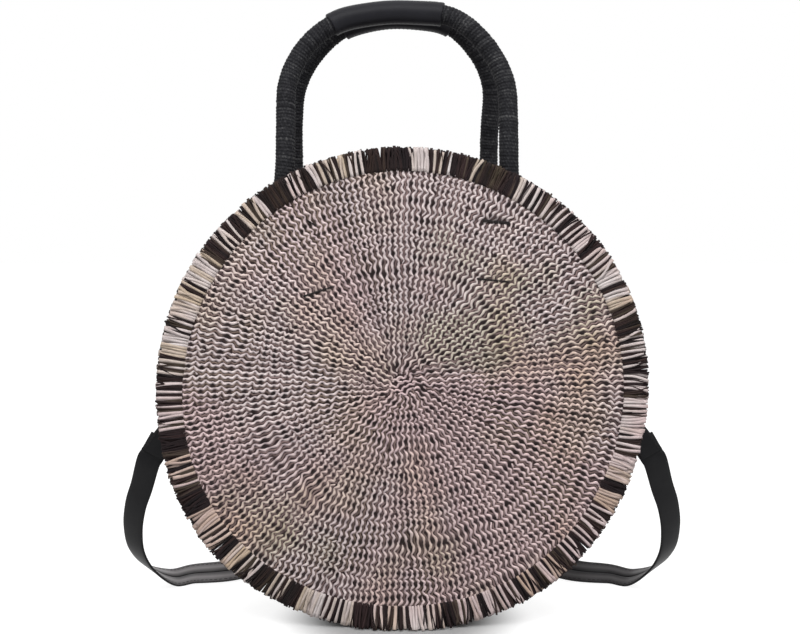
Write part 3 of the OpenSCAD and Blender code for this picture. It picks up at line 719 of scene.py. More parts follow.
# Shares of strands that are cut short or stray, how much shorter they are at the top of the
# disc, and how far the floor bends them forward as a share of what it takes up
CUT_SHARE, STRAY_SHARE = 0.03, 0.06
SHORTER_ON_TOP = 3.0 * MM
FLOOR_BEND = 0.75


def tuft_colours(rng):
    """For each strand whether it is pale, its hue, its lean and if its tuft is all pale."""
    count = round(TAU * (PANEL_R + FRINGE_R) / 2 / STRAND_PITCH)
    strands = []
    while len(strands) < count:
        more = bulges_at(TAU * (len(strands) + 1.5) / count, TUFTS)
        kind = rng.choice(["dark", "pale", "striped"], p=[0.30 - more, 0.32 + more, 0.38])
        length = int(rng.choice([2, 3, 4, 6], p=[0.45, 0.30, 0.20, 0.05]))
        if kind == "striped":
            length = 2 * int(rng.integers(1, 5)) + 1
        hue, lean = rng.uniform(0, 1), rng.normal(0, 0.05)
        for k in range(length):
            pale = kind == "pale" or (kind == "striped" and k % 2 == 1)
            strands.append((pale, hue if pale else rng.uniform(0, 1), lean, kind == "pale"))
    return strands[:count]


def strand_path(rng, angle, lean, depth, bend, loose, side, front):
    """From under the disc's rim to a cut tip, and forward where the floor is in the way."""
    t = np.linspace(0, 1, STRAND_ROWS)
    tip_r = FRINGE_R + rng.normal(-0.3, 0.6) * MM
    tip_r -= (rng.random() < CUT_SHARE) * rng.uniform(1, 4) * MM
    tip_r += MM * bulges_at(angle, TIP_SWELL)
    stray = rng.normal(0, 0.05)
    stray += (rng.random() < STRAY_SHARE) * rng.choice([-1, 1]) * rng.uniform(0.1, 0.3)
    root_r = PANEL_R + MM * bulges_at(angle, RIM_SWELL) - ROOT_IN + rng.uniform(-0.4, 0.4) * MM
    r = root_r + (tip_r - root_r) * t
    a = angle + (lean + loose * stray) * (r - PANEL_R) / PANEL_R * t
    a += loose * rng.normal(0, 0.006) * t ** 2
    r = r - SHORTER_ON_TOP * max(0.0, math.sin(angle)) ** 2 * t
    x, z = r * np.cos(a), r * np.sin(a)
    floor = rng.uniform(0.7, 1.6) * MM - DISC_Z
    drop = z[0] - z[-1]
    excess = max(0.0, floor - z[-1])
    z = z + excess * (z[0] - z) / max(drop, 1 * MM)
    taken_up = math.sqrt(max(0.0, drop ** 2 - (drop - excess) ** 2))
    out = FRINGE_MID + FRINGE_T / 2 - depth * FRINGE_T / (5 * MM)
    out = out + FLOOR_BEND * bend * taken_up * t ** 1.3 + rng.normal(0, 0.4) * MM * t ** 2
    if front:
        out = out + np.maximum(0, RIM + ROOT_OVER - out) * (1 - t) ** 3
    return np.stack([x, MID_Y + side * out, DISC_Z + z], -1)


def fringe(which, seed):
    """Cut flat strands in pale and dark groups, in three layers."""
    side, rng = SIDES[which], np.random.default_rng(seed)
    colours = tuft_colours(rng)
    bundles = {True: Strands(), False: Strands()}
    for layer, (depth, bend, keep, loose, wide) in enumerate(STRAND_LAYERS):
        for i, (pale, hue, lean, all_pale) in enumerate(colours):
            pale = pale and (rng.random() < keep or all_pale and layer == 1)
            parts = 1 if pale else 2
            for part in range(parts):
                share = i + 0.5 * (layer == 1) + (part - (parts - 1) / 2) / parts
                angle = TAU * (share + rng.uniform(-0.12, 0.12)) / len(colours)
                path = strand_path(rng, angle, lean, depth, bend, loose, side, layer == 2)
                turn = rng.normal(0, 0.22)
                c, s = math.cos(turn), math.sin(turn)
                flat = beside(path, [0, side, 0])
                up = np.cross(flat, along(path))
                across, up = flat * c + up * s, up * c - flat * s
                spread = np.linspace(*(PALE_SPREAD if pale else DARK_SPREAD), STRAND_ROWS)
                width = STRAND_W / parts * wide * rng.uniform(0.80, 1.15) * spread
                shade = np.clip(hue + rng.normal(0, 0.10), 0, 1)
                profile = oval(width, STRAND_H, 6, STRAND_ROWS)
                bundles[pale].add(path, across, up, profile, shade)
    name = f"{which}_fringe_strands"
    bundles[False].piece(f"{name}_dark", DARK_FRINGE, "fringe_yarn", nodes=[f"{which}_fringe"])
    bundles[True].piece(f"{name}_pale", PALE_FRINGE, "fringe_yarn")


fringe("front", 41)
fringe("back", 67)


# Gusset: the same zigzag weave across a band

BAND_PITCH = 4.55 * MM
BAND_GAP = 0.002
GROUND_DIP = 0.5 * MM


def band_point(angle, depth, height):
    """A point on the gusset at an angle round the bag and a depth from its middle plane."""
    r = GUSSET_R + height
    place = (r * np.cos(angle), MID_Y + depth, DISC_Z + r * np.sin(angle))
    return np.stack(np.broadcast_arrays(*place), -1)


def woven_band(name, angles, depths, seed, nodes, holes=()):
    """Pale and dark zigzag yarns across a band between two angles and two depths."""
    rng = np.random.default_rng(seed)
    pale, dark = Strands(), Strands()
    sweep = angles[1] - angles[0]
    count = round(sweep * GUSSET_R / BAND_PITCH)
    rows = max(4, round((depths[1] - depths[0]) / (ZIGZAG / ZIGZAG_STEPS)) + 1)
    depth = np.linspace(*depths, rows)
    for i in range(count):
        offset = rng.normal(0, 0.06)
        for strands, share in ((pale, 0.3), (dark, 0.8)):
            angle = angles[0] + sweep * (i + share) / count
            x = GUSSET_R * math.cos(angle)
            if any(abs(x - hole_x) < half for hole_x, half in holes):
                continue
            phase = depth / ZIGZAG + offset + 0.13 * soft_wave(9 * angle, 30 * depth, seed)
            floats = dark_floats(rng, phase)
            swing = zigzag(phase) + rng.normal(0, 0.1 * MM, rows)
            centre = band_point(angle + swing / GUSSET_R, depth, -0.4 * MM)
            up = unit(centre - np.stack([0 * depth, centre[:, 1], 0 * depth + DISC_Z], -1))
            peaks = np.cos(2 * TAU * phase)
            if strands is pale:
                width = PALE_SHARE * BAND_PITCH * (1 - 0.10 * peaks)
                height = PALE_H * (0.85 - 0.15 * peaks)
                # Random tone, with painted shade where the yarn runs thin and low
                shade = rng.normal(0.5, 0.13) - 0.20 * peaks
            else:
                width, height = DARK_W + FLOAT_W * floats, DARK_H + FLOAT_H * floats
                shade = rng.normal(0.85, 0.08) - floats
            strands.add(centre, beside(centre, up), up, arched(width, height),
                        np.clip(shade, 0, 1)[:, None], closed=False)
    ring = [(-GUSSET_T, depths[0]), (-GROUND_DIP, depths[0]),
            (-GROUND_DIP, depths[1]), (-GUSSET_T, depths[1])]
    stations = np.linspace(*angles, max(8, round(sweep * 60)))
    rings = np.stack([band_point(stations, d, height) for height, d in ring], 1)
    shell(f"{name}_ground", rings, DARK_YARN, nodes=nodes)
    pale.piece(f"{name}_pale_yarns", PALE_YARN, "gusset_weave")
    dark.piece(f"{name}_dark_yarns", DARK_YARN, "gusset_weave")


woven_band("gusset_band", (ZIP_TO + BAND_GAP, TAU + ZIP_FROM - BAND_GAP),
           (-GUSSET_HALF_W, GUSSET_HALF_W), 5, ["gusset_band"])
for which, seed, depths in (("front", 6, (-GUSSET_HALF_W, -STRIP_FROM)),
                            ("back", 7, (STRIP_FROM, GUSSET_HALF_W))):
    legs = [box(f"{which}_leg_{hand}") for hand in HANDS]
    woven_band(f"gusset_strip_{which}", ZIP_ARC, depths, seed, [f"gusset_top_{which}"],
               [(middle[0], half[0]) for middle, half in legs])


# Handles

BEND = 15 * MM
SEAT = 0.3 * MM
CORD_PITCH = 2.9 * MM
CORD_STEPS = 7
CORD_GROOVE = 0.75 * MM
ROPE_SIDES, CORE_SIDES, GRIP_SIDES = 26, 12, 40
CORE_R, CORE_ROWS = 6.2 * MM, 90
ARCH_LEG, ARCH_RISE, CORNER_R = 46 * MM, 77 * MM, 68 * MM
# Where the arch stands higher than an even curve: sideways place, width, height
ARCH_LIFT = ((-52 * MM, 20 * MM, 2.5 * MM), (50 * MM, 24 * MM, 5.5 * MM))
# Sideways shifts of the left and right leg, full between the middle two heights over the bend
FOOT_SHIFTS = {-1: (3.0 * MM, -1.3 * MM), 1: (-5 * MM, -4.2 * MM)}
SHIFT_HEIGHTS = (-50 * MM, -5 * MM, 10 * MM, 100 * MM)
# How far the front arch's shoulders draw in, at a height and over a width
SHOULDERS = {-1: 2.8 * MM, 1: 0.0}
SHOULDER_AT, SHOULDER_WIDTH = 80 * MM, 30 * MM
GRIP_LEN, GRIP_R = 102 * MM, 10.25 * MM
GRIP_ROLL = 1.3 * MM
GRIP_SLIDES = {-1: -9 * MM, 1: 1 * MM}
GRIP_STITCHES = 26


class Handle:
    """A handle's centre line, from one foot inside the bag over the arch to the other."""

    def __init__(self, which, side):
        self.side = side
        self.body = f"{which}_handle"
        left, half = box(f"{which}_leg_left")
        right = box(f"{which}_leg_right")[0]
        self.rope_r = half[0]
        self.half_w = (right[0] - left[0]) / 2
        self.middle_x, self.y = (left[0] + right[0]) / 2, left[1]
        self.bend_z = left[2] + half[2] + self.rope_r + SEAT
        self.foot = self.bend_z - left[2] + half[2]
        self.lean = math.asin((abs(self.y - MID_Y) - GRIP_R - SEAT) / (ARCH_LEG + ARCH_RISE))
        shoulder, rise = self.half_w - CORNER_R, ARCH_RISE - CORNER_R
        self.top_r = (shoulder ** 2 + ARCH_RISE ** 2 - CORNER_R ** 2) / (2 * rise)
        self.turn = math.atan2(self.top_r - ARCH_RISE, shoulder)
        self.corner = CORNER_R * self.turn
        self.half_len = ARCH_LEG + self.corner + self.top_r * (math.pi / 2 - self.turn)
        self.grip_middle = self.half_len + GRIP_SLIDES[side]

    def flat(self, s):
        """Place in the handle's plane at a distance from the left bend; below it is the leg."""
        mirrored = s > self.half_len
        s = np.where(mirrored, 2 * self.half_len - s, s)
        a = np.clip((s - ARCH_LEG) / CORNER_R, 0, self.turn)
        b = self.turn + np.maximum(0, s - ARCH_LEG - self.corner) / self.top_r
        top = b > self.turn
        x = np.where(top, -self.top_r * np.cos(b), CORNER_R - self.half_w - CORNER_R * np.cos(a))
        z = np.where(top, ARCH_LEG + ARCH_RISE - self.top_r + self.top_r * np.sin(b),
                     np.minimum(s, ARCH_LEG) + CORNER_R * np.sin(a))
        return np.where(mirrored, -x, x), z

    def line(self, s):
        """The centre line, with a soft bend where the leaning arch leaves the upright legs."""
        x, h = self.flat(s)
        low = np.interp(h, SHIFT_HEIGHTS, (0, 1, 1, 0))
        x = x + np.where(x < 0, *FOOT_SHIFTS[self.side]) * low * low * (3 - 2 * low)
        draw = np.exp(-((h - SHOULDER_AT) / SHOULDER_WIDTH) ** 2)
        x = x - SHOULDERS[self.side] * np.sign(x) * draw
        bent = np.where(h > BEND, h, np.where(h < -BEND, 0, (h + BEND) ** 2 / (4 * BEND)))
        z = self.bend_z + np.where(h > 0, h * math.cos(self.lean), h)
        for place, width, height in ARCH_LIFT:
            z = z + height * np.exp(-((x - place) / width) ** 2)
        y = self.y - self.side * math.sin(self.lean) * bent
        return np.stack([self.middle_x + x, y, z], -1)

    def frame_at(self, s):
        """Places along the centre line, and the directions along, up and across it."""
        place = self.line(s)
        up = beside(place, [0, math.cos(self.lean), 0])
        return place, along(place), up, np.cross(up, along(place))

    def tube(self, s, radii, shade=0.5):
        """Strands with one tube of round rings; radii has a row for each station."""
        place, _, up, across = self.frame_at(s)
        profile = radii[..., None] * rays(round_angles(radii.shape[1]))
        strands = Strands()
        strands.add(place, across, up, profile, shade, lengths=s)
        return strands


def rope(name, handle, seed):
    """Cord wound round the core in close turns, with each turn a little different."""
    rng = np.random.default_rng(seed)
    s = np.arange(-handle.foot, 2 * handle.half_len + handle.foot, CORD_PITCH / CORD_STEPS)
    turn = s[:, None] / CORD_PITCH + np.arange(ROPE_SIDES)[None] / ROPE_SIDES
    number = np.floor(turn).astype(int)
    number -= number.min()
    slack = rng.normal(0, 1, number.max() + 2)
    ridge = np.sqrt(np.clip(1 - 0.96 * (2 * (turn - np.floor(turn)) - 1) ** 2, 0, 1))
    radii = handle.rope_r - CORD_GROOVE * (1 - ridge)
    radii = radii + 0.10 * MM * slack[number] * ridge - 0.1 * MM
    hidden = np.abs(s - handle.grip_middle) < GRIP_LEN / 2 - CORD_PITCH
    radii[hidden] = np.minimum(radii[hidden], handle.rope_r - CORD_GROOVE)
    # Painted shade in the grooves and painted highlight on the turns' tops, with random tone from
    # turn to turn
    shade = np.clip(0.20 + 0.42 * ridge ** 2 + 0.11 * slack[number + 1], 0, 1)
    return handle.tube(s, radii, shade).piece(name, CORD, "wrapping_cord", None)


def rope_core(name, handle):
    reach = handle.foot * 0.9
    s = np.linspace(-reach, 2 * handle.half_len + reach, CORE_ROWS)
    tube = handle.tube(s, np.full((CORE_ROWS, CORE_SIDES), CORE_R))
    return tube.piece(name, CORE, "rope_core", None)


def grip(name, handle, node):
    """Leather sleeve with rolled ends and a seam under it."""
    bore = handle.rope_r - CORD_GROOVE + SEAT / 2
    ends = np.linspace(0, np.pi / 2, 6)
    rise = GRIP_R - GRIP_ROLL + GRIP_ROLL * np.sin(ends)
    inset = GRIP_ROLL * (1 - np.cos(ends))
    middle = np.linspace(0, 1, 60)[1:-1]
    lengths = np.concatenate([
        [0.25 * MM], inset, GRIP_ROLL + middle * (GRIP_LEN - 2 * GRIP_ROLL),
        GRIP_LEN - inset[::-1], [GRIP_LEN - 0.25 * MM]])
    radii = np.concatenate([[bore], rise, np.full(len(middle), GRIP_R), rise[::-1], [bore]])
    from_end = np.minimum(lengths, GRIP_LEN - lengths)
    radii -= 0.30 * MM * np.exp(-((from_end - 5.2 * MM) / (0.7 * MM)) ** 2)
    radii[8:-8] -= 0.06 * MM * (1 - np.cos(np.linspace(0, TAU, len(radii) - 16)))
    from_seam = (round_angles(GRIP_SIDES) + 1.5 * np.pi) % TAU - np.pi
    seam = np.exp(-(from_seam / 0.07) ** 2)
    radii = radii[:, None] - 0.5 * MM * seam[None] * (radii[:, None] > bore + GRIP_ROLL)
    tube = handle.tube(handle.grip_middle - GRIP_LEN / 2 + lengths, radii)
    tube.piece(name, GRIP_LEATHER, "grip_leather", handle.body, [node])


def grip_stitches(name, handle):
    """Two rows of stitches beside the grip's seam."""
    strands = Strands()
    t = np.linspace(-1, 1, 5)
    lift = GRIP_R - 0.40 * MM + 0.25 * MM * np.cos(t * math.pi / 2)
    for angle in (-math.pi / 2 - 0.26, -math.pi / 2 + 0.26):
        for i in range(GRIP_STITCHES):
            share = (i + 0.5) / GRIP_STITCHES - 0.5
            s = handle.grip_middle + GRIP_LEN * share + 1.25 * MM * t
            place, forward, up, across = handle.frame_at(s)
            out = across * math.cos(angle) + up * math.sin(angle)
            profile = oval(0.7 * MM, 0.5 * MM, 6, len(t))
            strands.add(place + out * lift[:, None], np.cross(out, forward), out, profile, 0.3)
    strands.piece(name, THREAD, "grip_leather", handle.body)


for which, seed in (("front", 3), ("back", 9)):
    handle = Handle(which, SIDES[which])
    wound = rope(f"{which}_rope", handle, seed)
    core = rope_core(f"{which}_core", handle)
    for piece in (wound, core):
        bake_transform(piece)
    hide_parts(f"{which}_rope_wrap", f"{which}_leg_left", f"{which}_leg_right")
    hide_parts(f"{which}_rope_core")
    grip(f"{which}_grip_sleeve", handle, f"{which}_grip")
    grip_stitches(f"{which}_grip_stitches", handle)


# Strap

STRAP_W, STRAP_T, STRAP_LIFT = 22 * MM, 2.2 * MM, 0.6 * MM
STRAP_REACH, STRAP_END_LEN, STRAP_LEAN = 345 * MM, 45 * MM, math.radians(30)
STRAP_END_T = 1.6 * MM
STRAP_STEPS = 14
STITCH_PITCH = 4.2 * MM
WIRE_R = RING_HALF[1]
BAR = np.array([RING[0], 0, RING[2] - RING_HALF[2] + WIRE_R])
BAG_DEPTH = 2 * RIM
# Places as shares of the fringe's radius, of the bag's depth or the strap's reach, and of the
# bar's height, each with the direction from the strap's front edge to its rear edge
SIDE_ROUTE = (
    ((1.136, 0.09, 0.612), (0.91, 0.22, 0.33)), ((1.174, 0.17, 0.5), (0.91, 0.34, 0.2)),
    ((1.198, 0.268, 0.37), (0.88, 0.47, 0.05)), ((1.195, 0.375, 0.236), (0.8, 0.59, 0.08)),
    ((1.15, 0.515, 0.12), (0.65, 0.74, 0.16)))
NEAR_ROUTE = (((1.066, 0.69), (0.42, 0.73, 0.54)), ((0.975, 0.775), (0.32, 0.7, 0.64)),
              ((0.815, 0.835), (0.2, 0.58, 0.79)))
FAR_ROUTE = ((0.673, 0.34), (0.567, 0.443), (0.529, 0.594), (0.538, 0.739), (0.471, 0.87),
             (0.298, 0.962), (0, 1))
FAR_TURN = (0.04, 0.1, 0.99)
END_ALONG = np.array([math.sin(STRAP_LEAN), 0, -math.cos(STRAP_LEAN)])
END_ACROSS = np.array([math.cos(STRAP_LEAN), 0, math.sin(STRAP_LEAN)])


def strap_route():
    """Places and turns of the strap, from the right ring round behind the bag to the left."""
    def standing(x, y, turn):
        turn = unit(np.array(turn, float))
        z = STRAP_LIFT + STRAP_W / 2 * turn[2] + STRAP_T / 2 * math.hypot(turn[0], turn[1])
        return np.array([x, y, z]), turn

    half = [(BAR + share * STRAP_END_LEN * END_ALONG, END_ACROSS)
            for share in (0.62, 0.8, 1.02, 1.2)]
    scale = np.array([FRINGE_R, BAG_DEPTH, BAR[2]])
    half += [(scale * place, unit(np.array(turn))) for place, turn in SIDE_ROUTE]
    half += [standing(a * FRINGE_R, b * BAG_DEPTH, turn) for (a, b), turn in NEAR_ROUTE]
    half += [standing(a * FRINGE_R, b * STRAP_REACH, FAR_TURN if a else (0, *FAR_TURN[1:]))
             for a, b in FAR_ROUTE]
    half = np.array(half)
    return np.concatenate([half, half[-2::-1] * [-1, 1, 1]]).swapaxes(0, 1)


def smooth_curve(points, steps):
    """Curve through the points with even smoothness, steps stations for each span."""
    padded = np.concatenate([points[:1], points, points[-1:]])
    a, b, c, d = (padded[k:k + len(points) - 1, None] for k in range(4))
    t = np.arange(steps)[:, None] / steps
    bend = (2 * a - 5 * b + 4 * c - d) * t ** 2 + (3 * b - a - 3 * c + d) * t ** 3
    curve = (2 * b + (c - a) * t + bend) / 2
    return np.concatenate([curve.reshape(-1, 3), points[-1:]])


def strap_profile():
    """Across and through the strap: full outside, turned edges that meet in a line inside."""
    w, t = STRAP_W / 2, STRAP_T / 2
    edge = np.linspace(-np.pi / 2, np.pi / 2, 7)
    right = np.stack([w - t + t * np.cos(edge), t * np.sin(edge)], -1)
    outside = [(x * (w - t), t + 0.25 * MM * (1 - x ** 2)) for x in (0.7, 0.35, 0.0, -0.35, -0.7)]
    inner = ((-0.85, 0.10), (-0.5, 0.30), (-0.2, 0.22), (-0.07, 0.0), (-0.03, -0.45))
    inner += tuple((-x, d) for x, d in inner[::-1])
    inside = [(x * (w - t), -t - d * MM) for x, d in inner]
    return np.concatenate([right, outside, -right, inside])


def strap():
    """The leather band between the folded ends, with painted sheen bands along its inner side."""
    route, turns = strap_route()
    path = smooth_curve(route, STRAP_STEPS) + [0, MID_Y, 0]
    turn, forward = smooth_curve(turns, STRAP_STEPS), along(path)
    across = unit(turn - np.sum(turn * forward, -1, keepdims=True) * forward)
    through = unit(np.cross(forward, across))
    flat = strap_profile()
    inside = np.clip(-flat[:, 1] / (STRAP_T / 2) - 0.75, 0, 0.25) * 4
    # Painted sheen: two lighter bands near the inner face's edges, darker in its middle and at its
    # edges
    from_edge = (np.abs(flat[:, 0]) / (STRAP_W / 2) - 0.52) / 0.24
    shade = inside * (0.25 + 0.75 * np.exp(-from_edge ** 2))
    # Painted sheen that fades towards the strap's right end, where its inner face shows less
    # reflection
    wear_and_sheen_fade = np.interp(path[:, 0], (-50 * MM, 120 * MM), (1.0, 0.30))
    strands = Strands()
    profile = np.repeat(flat[None], len(path), 0)
    strands.add(path, across, through, profile, wear_and_sheen_fade[:, None] * shade[None])
    strands.piece("strap_leather_band", STRAP_LEATHER, "strap_leather", "strap", ["strap"])
    return path, across, through


def strap_stitches(name, path, across, through):
    """A row of small stitches along each edge of the strap's inner face."""
    length = lengths_along(path)
    strands = Strands()
    for start in np.arange(20 * MM, length[-1] - 20 * MM, STITCH_PITCH):
        s = start + np.linspace(-1.3, 1.3, 4) * MM
        place, wide, out = (np.stack([np.interp(s, length, v[:, k]) for k in range(3)], -1)
                            for v in (path, across, through))
        wide, out = unit(wide), unit(out)
        for edge in (-1, 1):
            spot = place + wide * edge * (STRAP_W / 2 - 2.6 * MM)
            spot = spot - out * (STRAP_T / 2 + 0.02 * MM)
            strands.add(spot, wide, out, oval(0.6 * MM, 0.5 * MM, 5, 4), 0.5)
    strands.piece(name, THREAD, "strap_leather", "strap")


def strap_end(hand, side):
    """Leather folded over the ring's bar, wide at its foot, with stitches along its edges."""
    slot = STRAP_T / 2 + 0.5 * MM
    fold_r = WIRE_R + 0.35 * MM + STRAP_END_T / 2
    taper_z = BAR[2] - 3 * (fold_r + STRAP_END_T / 2)
    foot = BAR + STRAP_END_LEN * END_ALONG
    feet = np.array([foot - STRAP_W / 2 * END_ACROSS, foot + STRAP_W / 2 * END_ACROSS])
    narrow = RING_HALF[0] - WIRE_R - 3.0 * MM
    necks = BAR + np.array([[-narrow, 0, -6 * MM], [narrow, 0, -6 * MM]])

    def face(share, across, sign, over=0.0):
        """Places on the front or rear face, shares of the way up and of the width."""
        left, right = (feet + (necks - feet) * share[:, None, None]).swapaxes(0, 1)[:, :, None]
        sheet = left + (right - left) * across[:, None]
        bent = np.clip((sheet[..., 2] - taper_z) / (BAR[2] - taper_z), 0, 1)
        sheet[..., 1] = sign * ((slot + STRAP_END_T / 2) * (1 - bent) + fold_r * bent + over)
        return sheet

    across = np.linspace(0, 1, 9)
    share = np.linspace(0, 1, 24)
    a = np.linspace(np.pi, 0, 17)[:, None] + 0 * across
    fold = np.stack([BAR[0] - narrow + 2 * narrow * across + 0 * a, fold_r * np.cos(a),
                     BAR[2] + fold_r * np.sin(a)], -1)
    sheet = np.concatenate([face(share, across, -1), fold, face(share[::-1], across, 1)])
    soft = 1 - 0.35 * np.abs(2 * across[:, None] - 1) ** 8
    normal = unit(np.cross(unit(np.gradient(sheet, axis=1)), along(sheet)))
    half = normal * STRAP_END_T / 2 * soft
    ring = np.concatenate([sheet + half, (sheet - half)[:, ::-1]], 1) * [side, 1, 1]
    shell(f"strap_fold_{hand}", (ring + [0, MID_Y, 0])[:, ::side], STRAP_LEATHER,
          "strap", [f"strap_end_{hand}"])
    strands = Strands()
    for sign in (-1, 1):
        for edge in (0.12, 0.88):
            for i in range(9):
                share = 0.06 + 0.80 * (i + np.linspace(0.1, 0.75, 4)) / 9
                over = STRAP_END_T / 2 - 0.02 * MM
                spot = face(share, np.array([edge]), sign, over)[:, 0] * [side, 1, 1]
                spot, out = spot + [0, MID_Y, 0], [0, sign, 0]
                strands.add(spot, beside(spot, out), out, oval(0.7 * MM, 0.5 * MM, 6, 4), 0.5)
    strands.piece(f"strap_fold_stitches_{hand}", THREAD, "strap_leather", "strap")


strap_stitches("strap_stitches", *strap())
strap_end("right", 1)
strap_end("left", -1)


# Trim: zip, tabs and lining

SEWN_END_TURN = math.radians(16)
TAPE_T = 0.9 * MM
TAB_OVER = 0.3 * MM
LINING_T = 0.8 * MM


def arc_sheet(name, radius, thickness, depths, angles, finish, nodes=(), wave=0.0):
    """A sheet bent round the bag, between two depths and two angles, with rounded edges."""
    rows, columns = max(6, round(abs(angles[1] - angles[0]) * 40)), 13
    share = np.linspace(0, 1, columns)[None]
    angle = np.linspace(*angles, rows)[:, None] + 0 * share
    depth = depths[0] + (depths[1] - depths[0]) * share + 0 * angle
    soft = thickness / 2 * (1 - 0.5 * np.abs(2 * share - 1) ** 8)
    ripple = soft_wave(3 * angle, 20 * depth, 2.0) + 0.6 * soft_wave(11 * angle, 60 * depth, 4.0)
    middle = radius - GUSSET_R + thickness / 2 + wave * ripple
    top, low = band_point(angle, depth, middle + soft), band_point(angle, depth, middle - soft)
    shell(name, np.concatenate([top, low[:, ::-1]], 1), finish, nodes=nodes, turned=True)


def plate(name, node, outline, finish, turn=0.0, wave=0.0, centre=None):
    """An upright sheet in the place of a CAD node, with an outline in XZ about its centre."""
    x, z = np.transpose(outline)
    middle, half = box(node)
    if centre is not None:
        middle[::2] = centre
    c, s = math.cos(turn), math.sin(turn)
    out = np.linspace(0.02, 1, 9)
    rings = []
    for layer, scales in ((-1, out), (1, out[::-1])):
        for k in scales:
            bow = wave * soft_wave(x * k * 14, z * k * 14, 3.0) * (1 - k ** 4)
            place = (k * (c * x + s * z), layer * half[1] * (1 - 0.5 * k ** 12) + bow,
                     k * (c * z - s * x))
            rings.append(middle + np.stack(place, -1))
    shell(name, np.array(rings), finish, nodes=[node])


def rounded_box(half_w, half_h, corner):
    """Outline of a rectangle with round corners, counted so that it faces the front."""
    starts, signs = (-90, 0, 90, 180), [[1, -1], [1, 1], [-1, 1], [-1, -1]]
    a = np.radians([np.linspace(start, start + 90, 6) for start in starts])
    centres = np.array(signs)[:, None] * (np.array([half_w, half_h]) - corner)
    return (centres + corner * rays(a)).reshape(-1, 2)


def depths_of(node):
    """The depths of a CAD node's two sides, measured from the bag's middle plane."""
    middle, half = box(node)
    return middle[1] - MID_Y - half[1], middle[1] - MID_Y + half[1]


for which, side in SIDES.items():
    arc_sheet(f"{which}_tape", GUSSET_R - GUSSET_T / 2 - TAPE_T / 2, TAPE_T,
              depths_of(f"zip_tape_{which}")[::side], ZIP_ARC, ZIP_TAPE,
              [f"zip_tape_{which}"], 0.15 * MM)
    circle = box(f"lining_{which}")[1][0] * rays(round_angles(96))
    plate(f"{which}_lining_sheet", f"lining_{which}", circle, LINING,
          wave=1.0 * MM, centre=(0, DISC_Z))
    for hand, sign in HANDS.items():
        plate(f"{which}_sewn_end_{hand}", f"{which}_end_{hand}",
              rounded_box(13.5 * MM, 26 * MM, 6 * MM), BLACK_LEATHER,
              sign * SEWN_END_TURN)

for hand, angles in (("left", (ZIP_TO - 0.004, ZIP_TO + 0.083)),
                     ("right", (ZIP_FROM - 0.083, ZIP_FROM + 0.004))):
    node = f"zip_end_tab_{hand}"
    arc_sheet(f"end_tab_{hand}", GUSSET_R + TAB_OVER, 1.3 * MM, depths_of(node), angles,
              BLACK_LEATHER, [node])

lining_r = box("lining_band")[1][0] - 1.0 * MM
lining_depths = depths_of("lining_band")
arc_sheet("lining_round", lining_r, LINING_T, lining_depths, (ZIP_TO, TAU + ZIP_FROM), LINING,
          ["lining_band"], 0.5 * MM)
for which, side in SIDES.items():
    arc_sheet(f"lining_strip_{which}", lining_r, LINING_T,
              (side * STRIP_FROM, side * lining_depths[1]), ZIP_ARC, LINING)
pocket_half = box("inner_pocket")[1]
plate("pocket_sheet", "inner_pocket", rounded_box(pocket_half[0], pocket_half[2], 8 * MM),
      LINING, wave=0.5 * MM)


def ring_tab(hand, side):
    """Leather tab on the gusset, whose middle loops round the ring's upright bar."""
    middle, half = box(f"ring_tab_{hand}")
    base, flat = GUSSET_R + TAB_OVER, 2.0 * MM
    peak = abs(middle[0]) + half[0]
    loop = WIRE_R + 0.3 * MM + flat
    t = np.linspace(-1, 1, 15)[:, None]
    angle = math.asin((middle[2] - DISC_Z) / base) + 0.97 * half[2] / base * t
    depth = np.linspace(-half[1], half[1], 61)
    rise = np.sqrt(np.maximum(0, loop ** 2 - depth ** 2)) + peak - base - loop
    height = flat + np.maximum(0, rise - flat) * (np.abs(depth) < loop)
    height = np.convolve(np.pad(height, 2, "edge"), np.ones(5) / 5, "valid")
    height *= 1 - 0.5 * np.abs(depth / half[1]) ** 20
    over = height * (1 - 0.25 * np.abs(t) ** 10)
    top = band_point(angle, depth, base - GUSSET_R + over)
    low = band_point(angle, depth, base - GUSSET_R + 0 * over)
    ring = np.concatenate([top, low[:, ::-1]], 1) * [side, 1, 1]
    shell(f"side_tab_{hand}", ring, BLACK_LEATHER, nodes=[f"ring_tab_{hand}"],
          turned=side > 0)


ring_tab("right", 1)
ring_tab("left", -1)


def dress(node, finish, edge=0.0):
    """A material, and a small bevel, on a hard part that is shown as it is in the frame."""
    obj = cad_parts[node]
    obj.data.materials.clear()
    obj.data.materials.append(finish)
    if edge:
        bevel = obj.modifiers.new("edges", "BEVEL")
        bevel.width, bevel.segments, bevel.limit_method = edge, 2, "ANGLE"
        bevel.harden_normals = True


for node in ("side_ring_left", "side_ring_right"):
    dress(node, DARK_METAL)
for node in ("zip_teeth_front", "zip_teeth_back", "zip_bottom_stop", "zip_top_stops"):
    dress(node, ZIP_METAL, 0.15 * MM)
for node in ("zip_slider", "zip_pull"):
    dress(node, ZIP_METAL, 0.3 * MM)


# Stage

WHITE = (1, 1, 1, 1)
FLOOR_GREY = (0.34, 0.34, 0.34, 1)
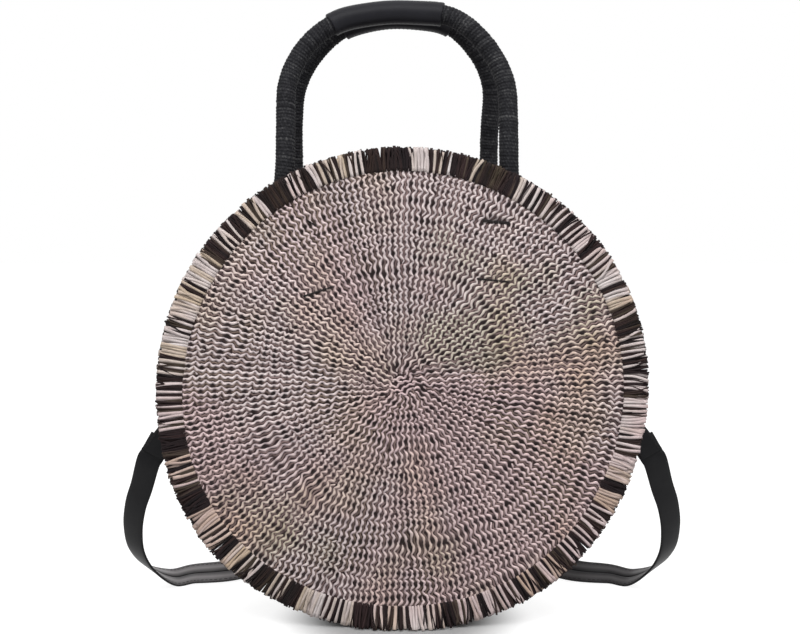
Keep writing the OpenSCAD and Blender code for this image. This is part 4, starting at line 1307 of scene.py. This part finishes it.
# The floor glows white for background rays from a soft oval round the bag outwards; inside that
# oval the glow fades, a painted shadow where the grey floor and its real shadow show
PAINTED_SHADOW_SCALE, PAINTED_SHADOW_SHIFT = (2.3, 2.4, 1.0), (0, -0.048, 0)
studio = Finish("floor", 1.0, Specular_IOR_Level=0.0, Base_Color=FLOOR_GREY, Emission_Color=WHITE)
spread = studio.node("Mapping", {
    "Vector": studio.place(), "Scale": PAINTED_SHADOW_SCALE, "Location": PAINTED_SHADOW_SHIFT})["Vector"]
distance = studio.node("VectorMath", {0: spread}, operation="LENGTH")["Value"]
# Painted shadow: no glow near the bag, full glow outside the oval
glow_round_painted_shadow = studio.node("MapRange", {
    "Value": distance, "From Min": 0.12, "From Max": 0.28, "To Min": 0.0, "To Max": 0.82},
    interpolation_type="SMOOTHSTEP")[0]
studio.links.new(studio.math("MULTIPLY", studio.background_rays(), glow_round_painted_shadow),
                 studio.shader["Emission Strength"])
floor = add_piece("floor", [(-30, -30, 0), (30, -30, 0), (30, 30, 0), (-30, 30, 0)],
                  [[[0, 1, 2, 3]]], studio.material, None)

world = bpy.data.worlds.new("studio")
bpy.context.scene.world = world
world.use_nodes = True
sky = Nodes(world.node_tree)
background = sky.nodes["Background"].inputs
level = sky.node("MapRange", {"Value": sky.background_rays(), "To Min": 0.60, "To Max": 1.0})[0]
sky.links.new(level, background["Strength"])
background["Color"].default_value = WHITE


def area_light(name, place, target, size, power):
    light = bpy.data.lights.new(name, "AREA")
    light.shape = "RECTANGLE"
    light.size, light.size_y = size
    light.energy = power
    obj = bpy.data.objects.new(name, light)
    bpy.context.scene.collection.objects.link(obj)
    away = unit(np.array(place, float) - np.array(target, float))
    side = unit(np.cross([0, 0, 1], away)) if away[2] < 0.999 else np.array([1.0, 0, 0])
    axes = np.stack([side, np.cross(away, side), away], -1)
    obj.visible_camera = False
    rows = [[*row, shift] for row, shift in zip(axes, place)]
    obj.matrix_world = Matrix(rows + [[0, 0, 0, 1]])


area_light("top", (0, 0.1, 1.9), (0, 0.05, 0.2), (1.6, 1.2), 5)
area_light("front", (0, -0.85, 1.25), (0, 0.0, 0.3), (1.6, 0.7), 16)
area_light("back", (0, 1.6, 1.2), (0, 0.1, 0.25), (1.4, 1.0), 9)
area_light("left", (-1.4, -1.2, 1.3), (0, 0.05, 0.25), (1.0, 1.0), 8)
area_light("right", (1.4, -1.2, 1.3), (0, 0.05, 0.25), (1.0, 1.0), 8)

camera_data = bpy.data.cameras.new("camera")
camera_data.lens = 50.7
camera_data.sensor_width = 36
camera = bpy.data.objects.new("camera", camera_data)
bpy.context.scene.collection.objects.link(camera)
camera.location = (-0.0017, -0.951, 0.322)
camera.rotation_euler = (math.radians(90 - 3.3), 0, 0)
bpy.context.scene.camera = camera
bpy.context.scene.view_settings.view_transform = "Standard"
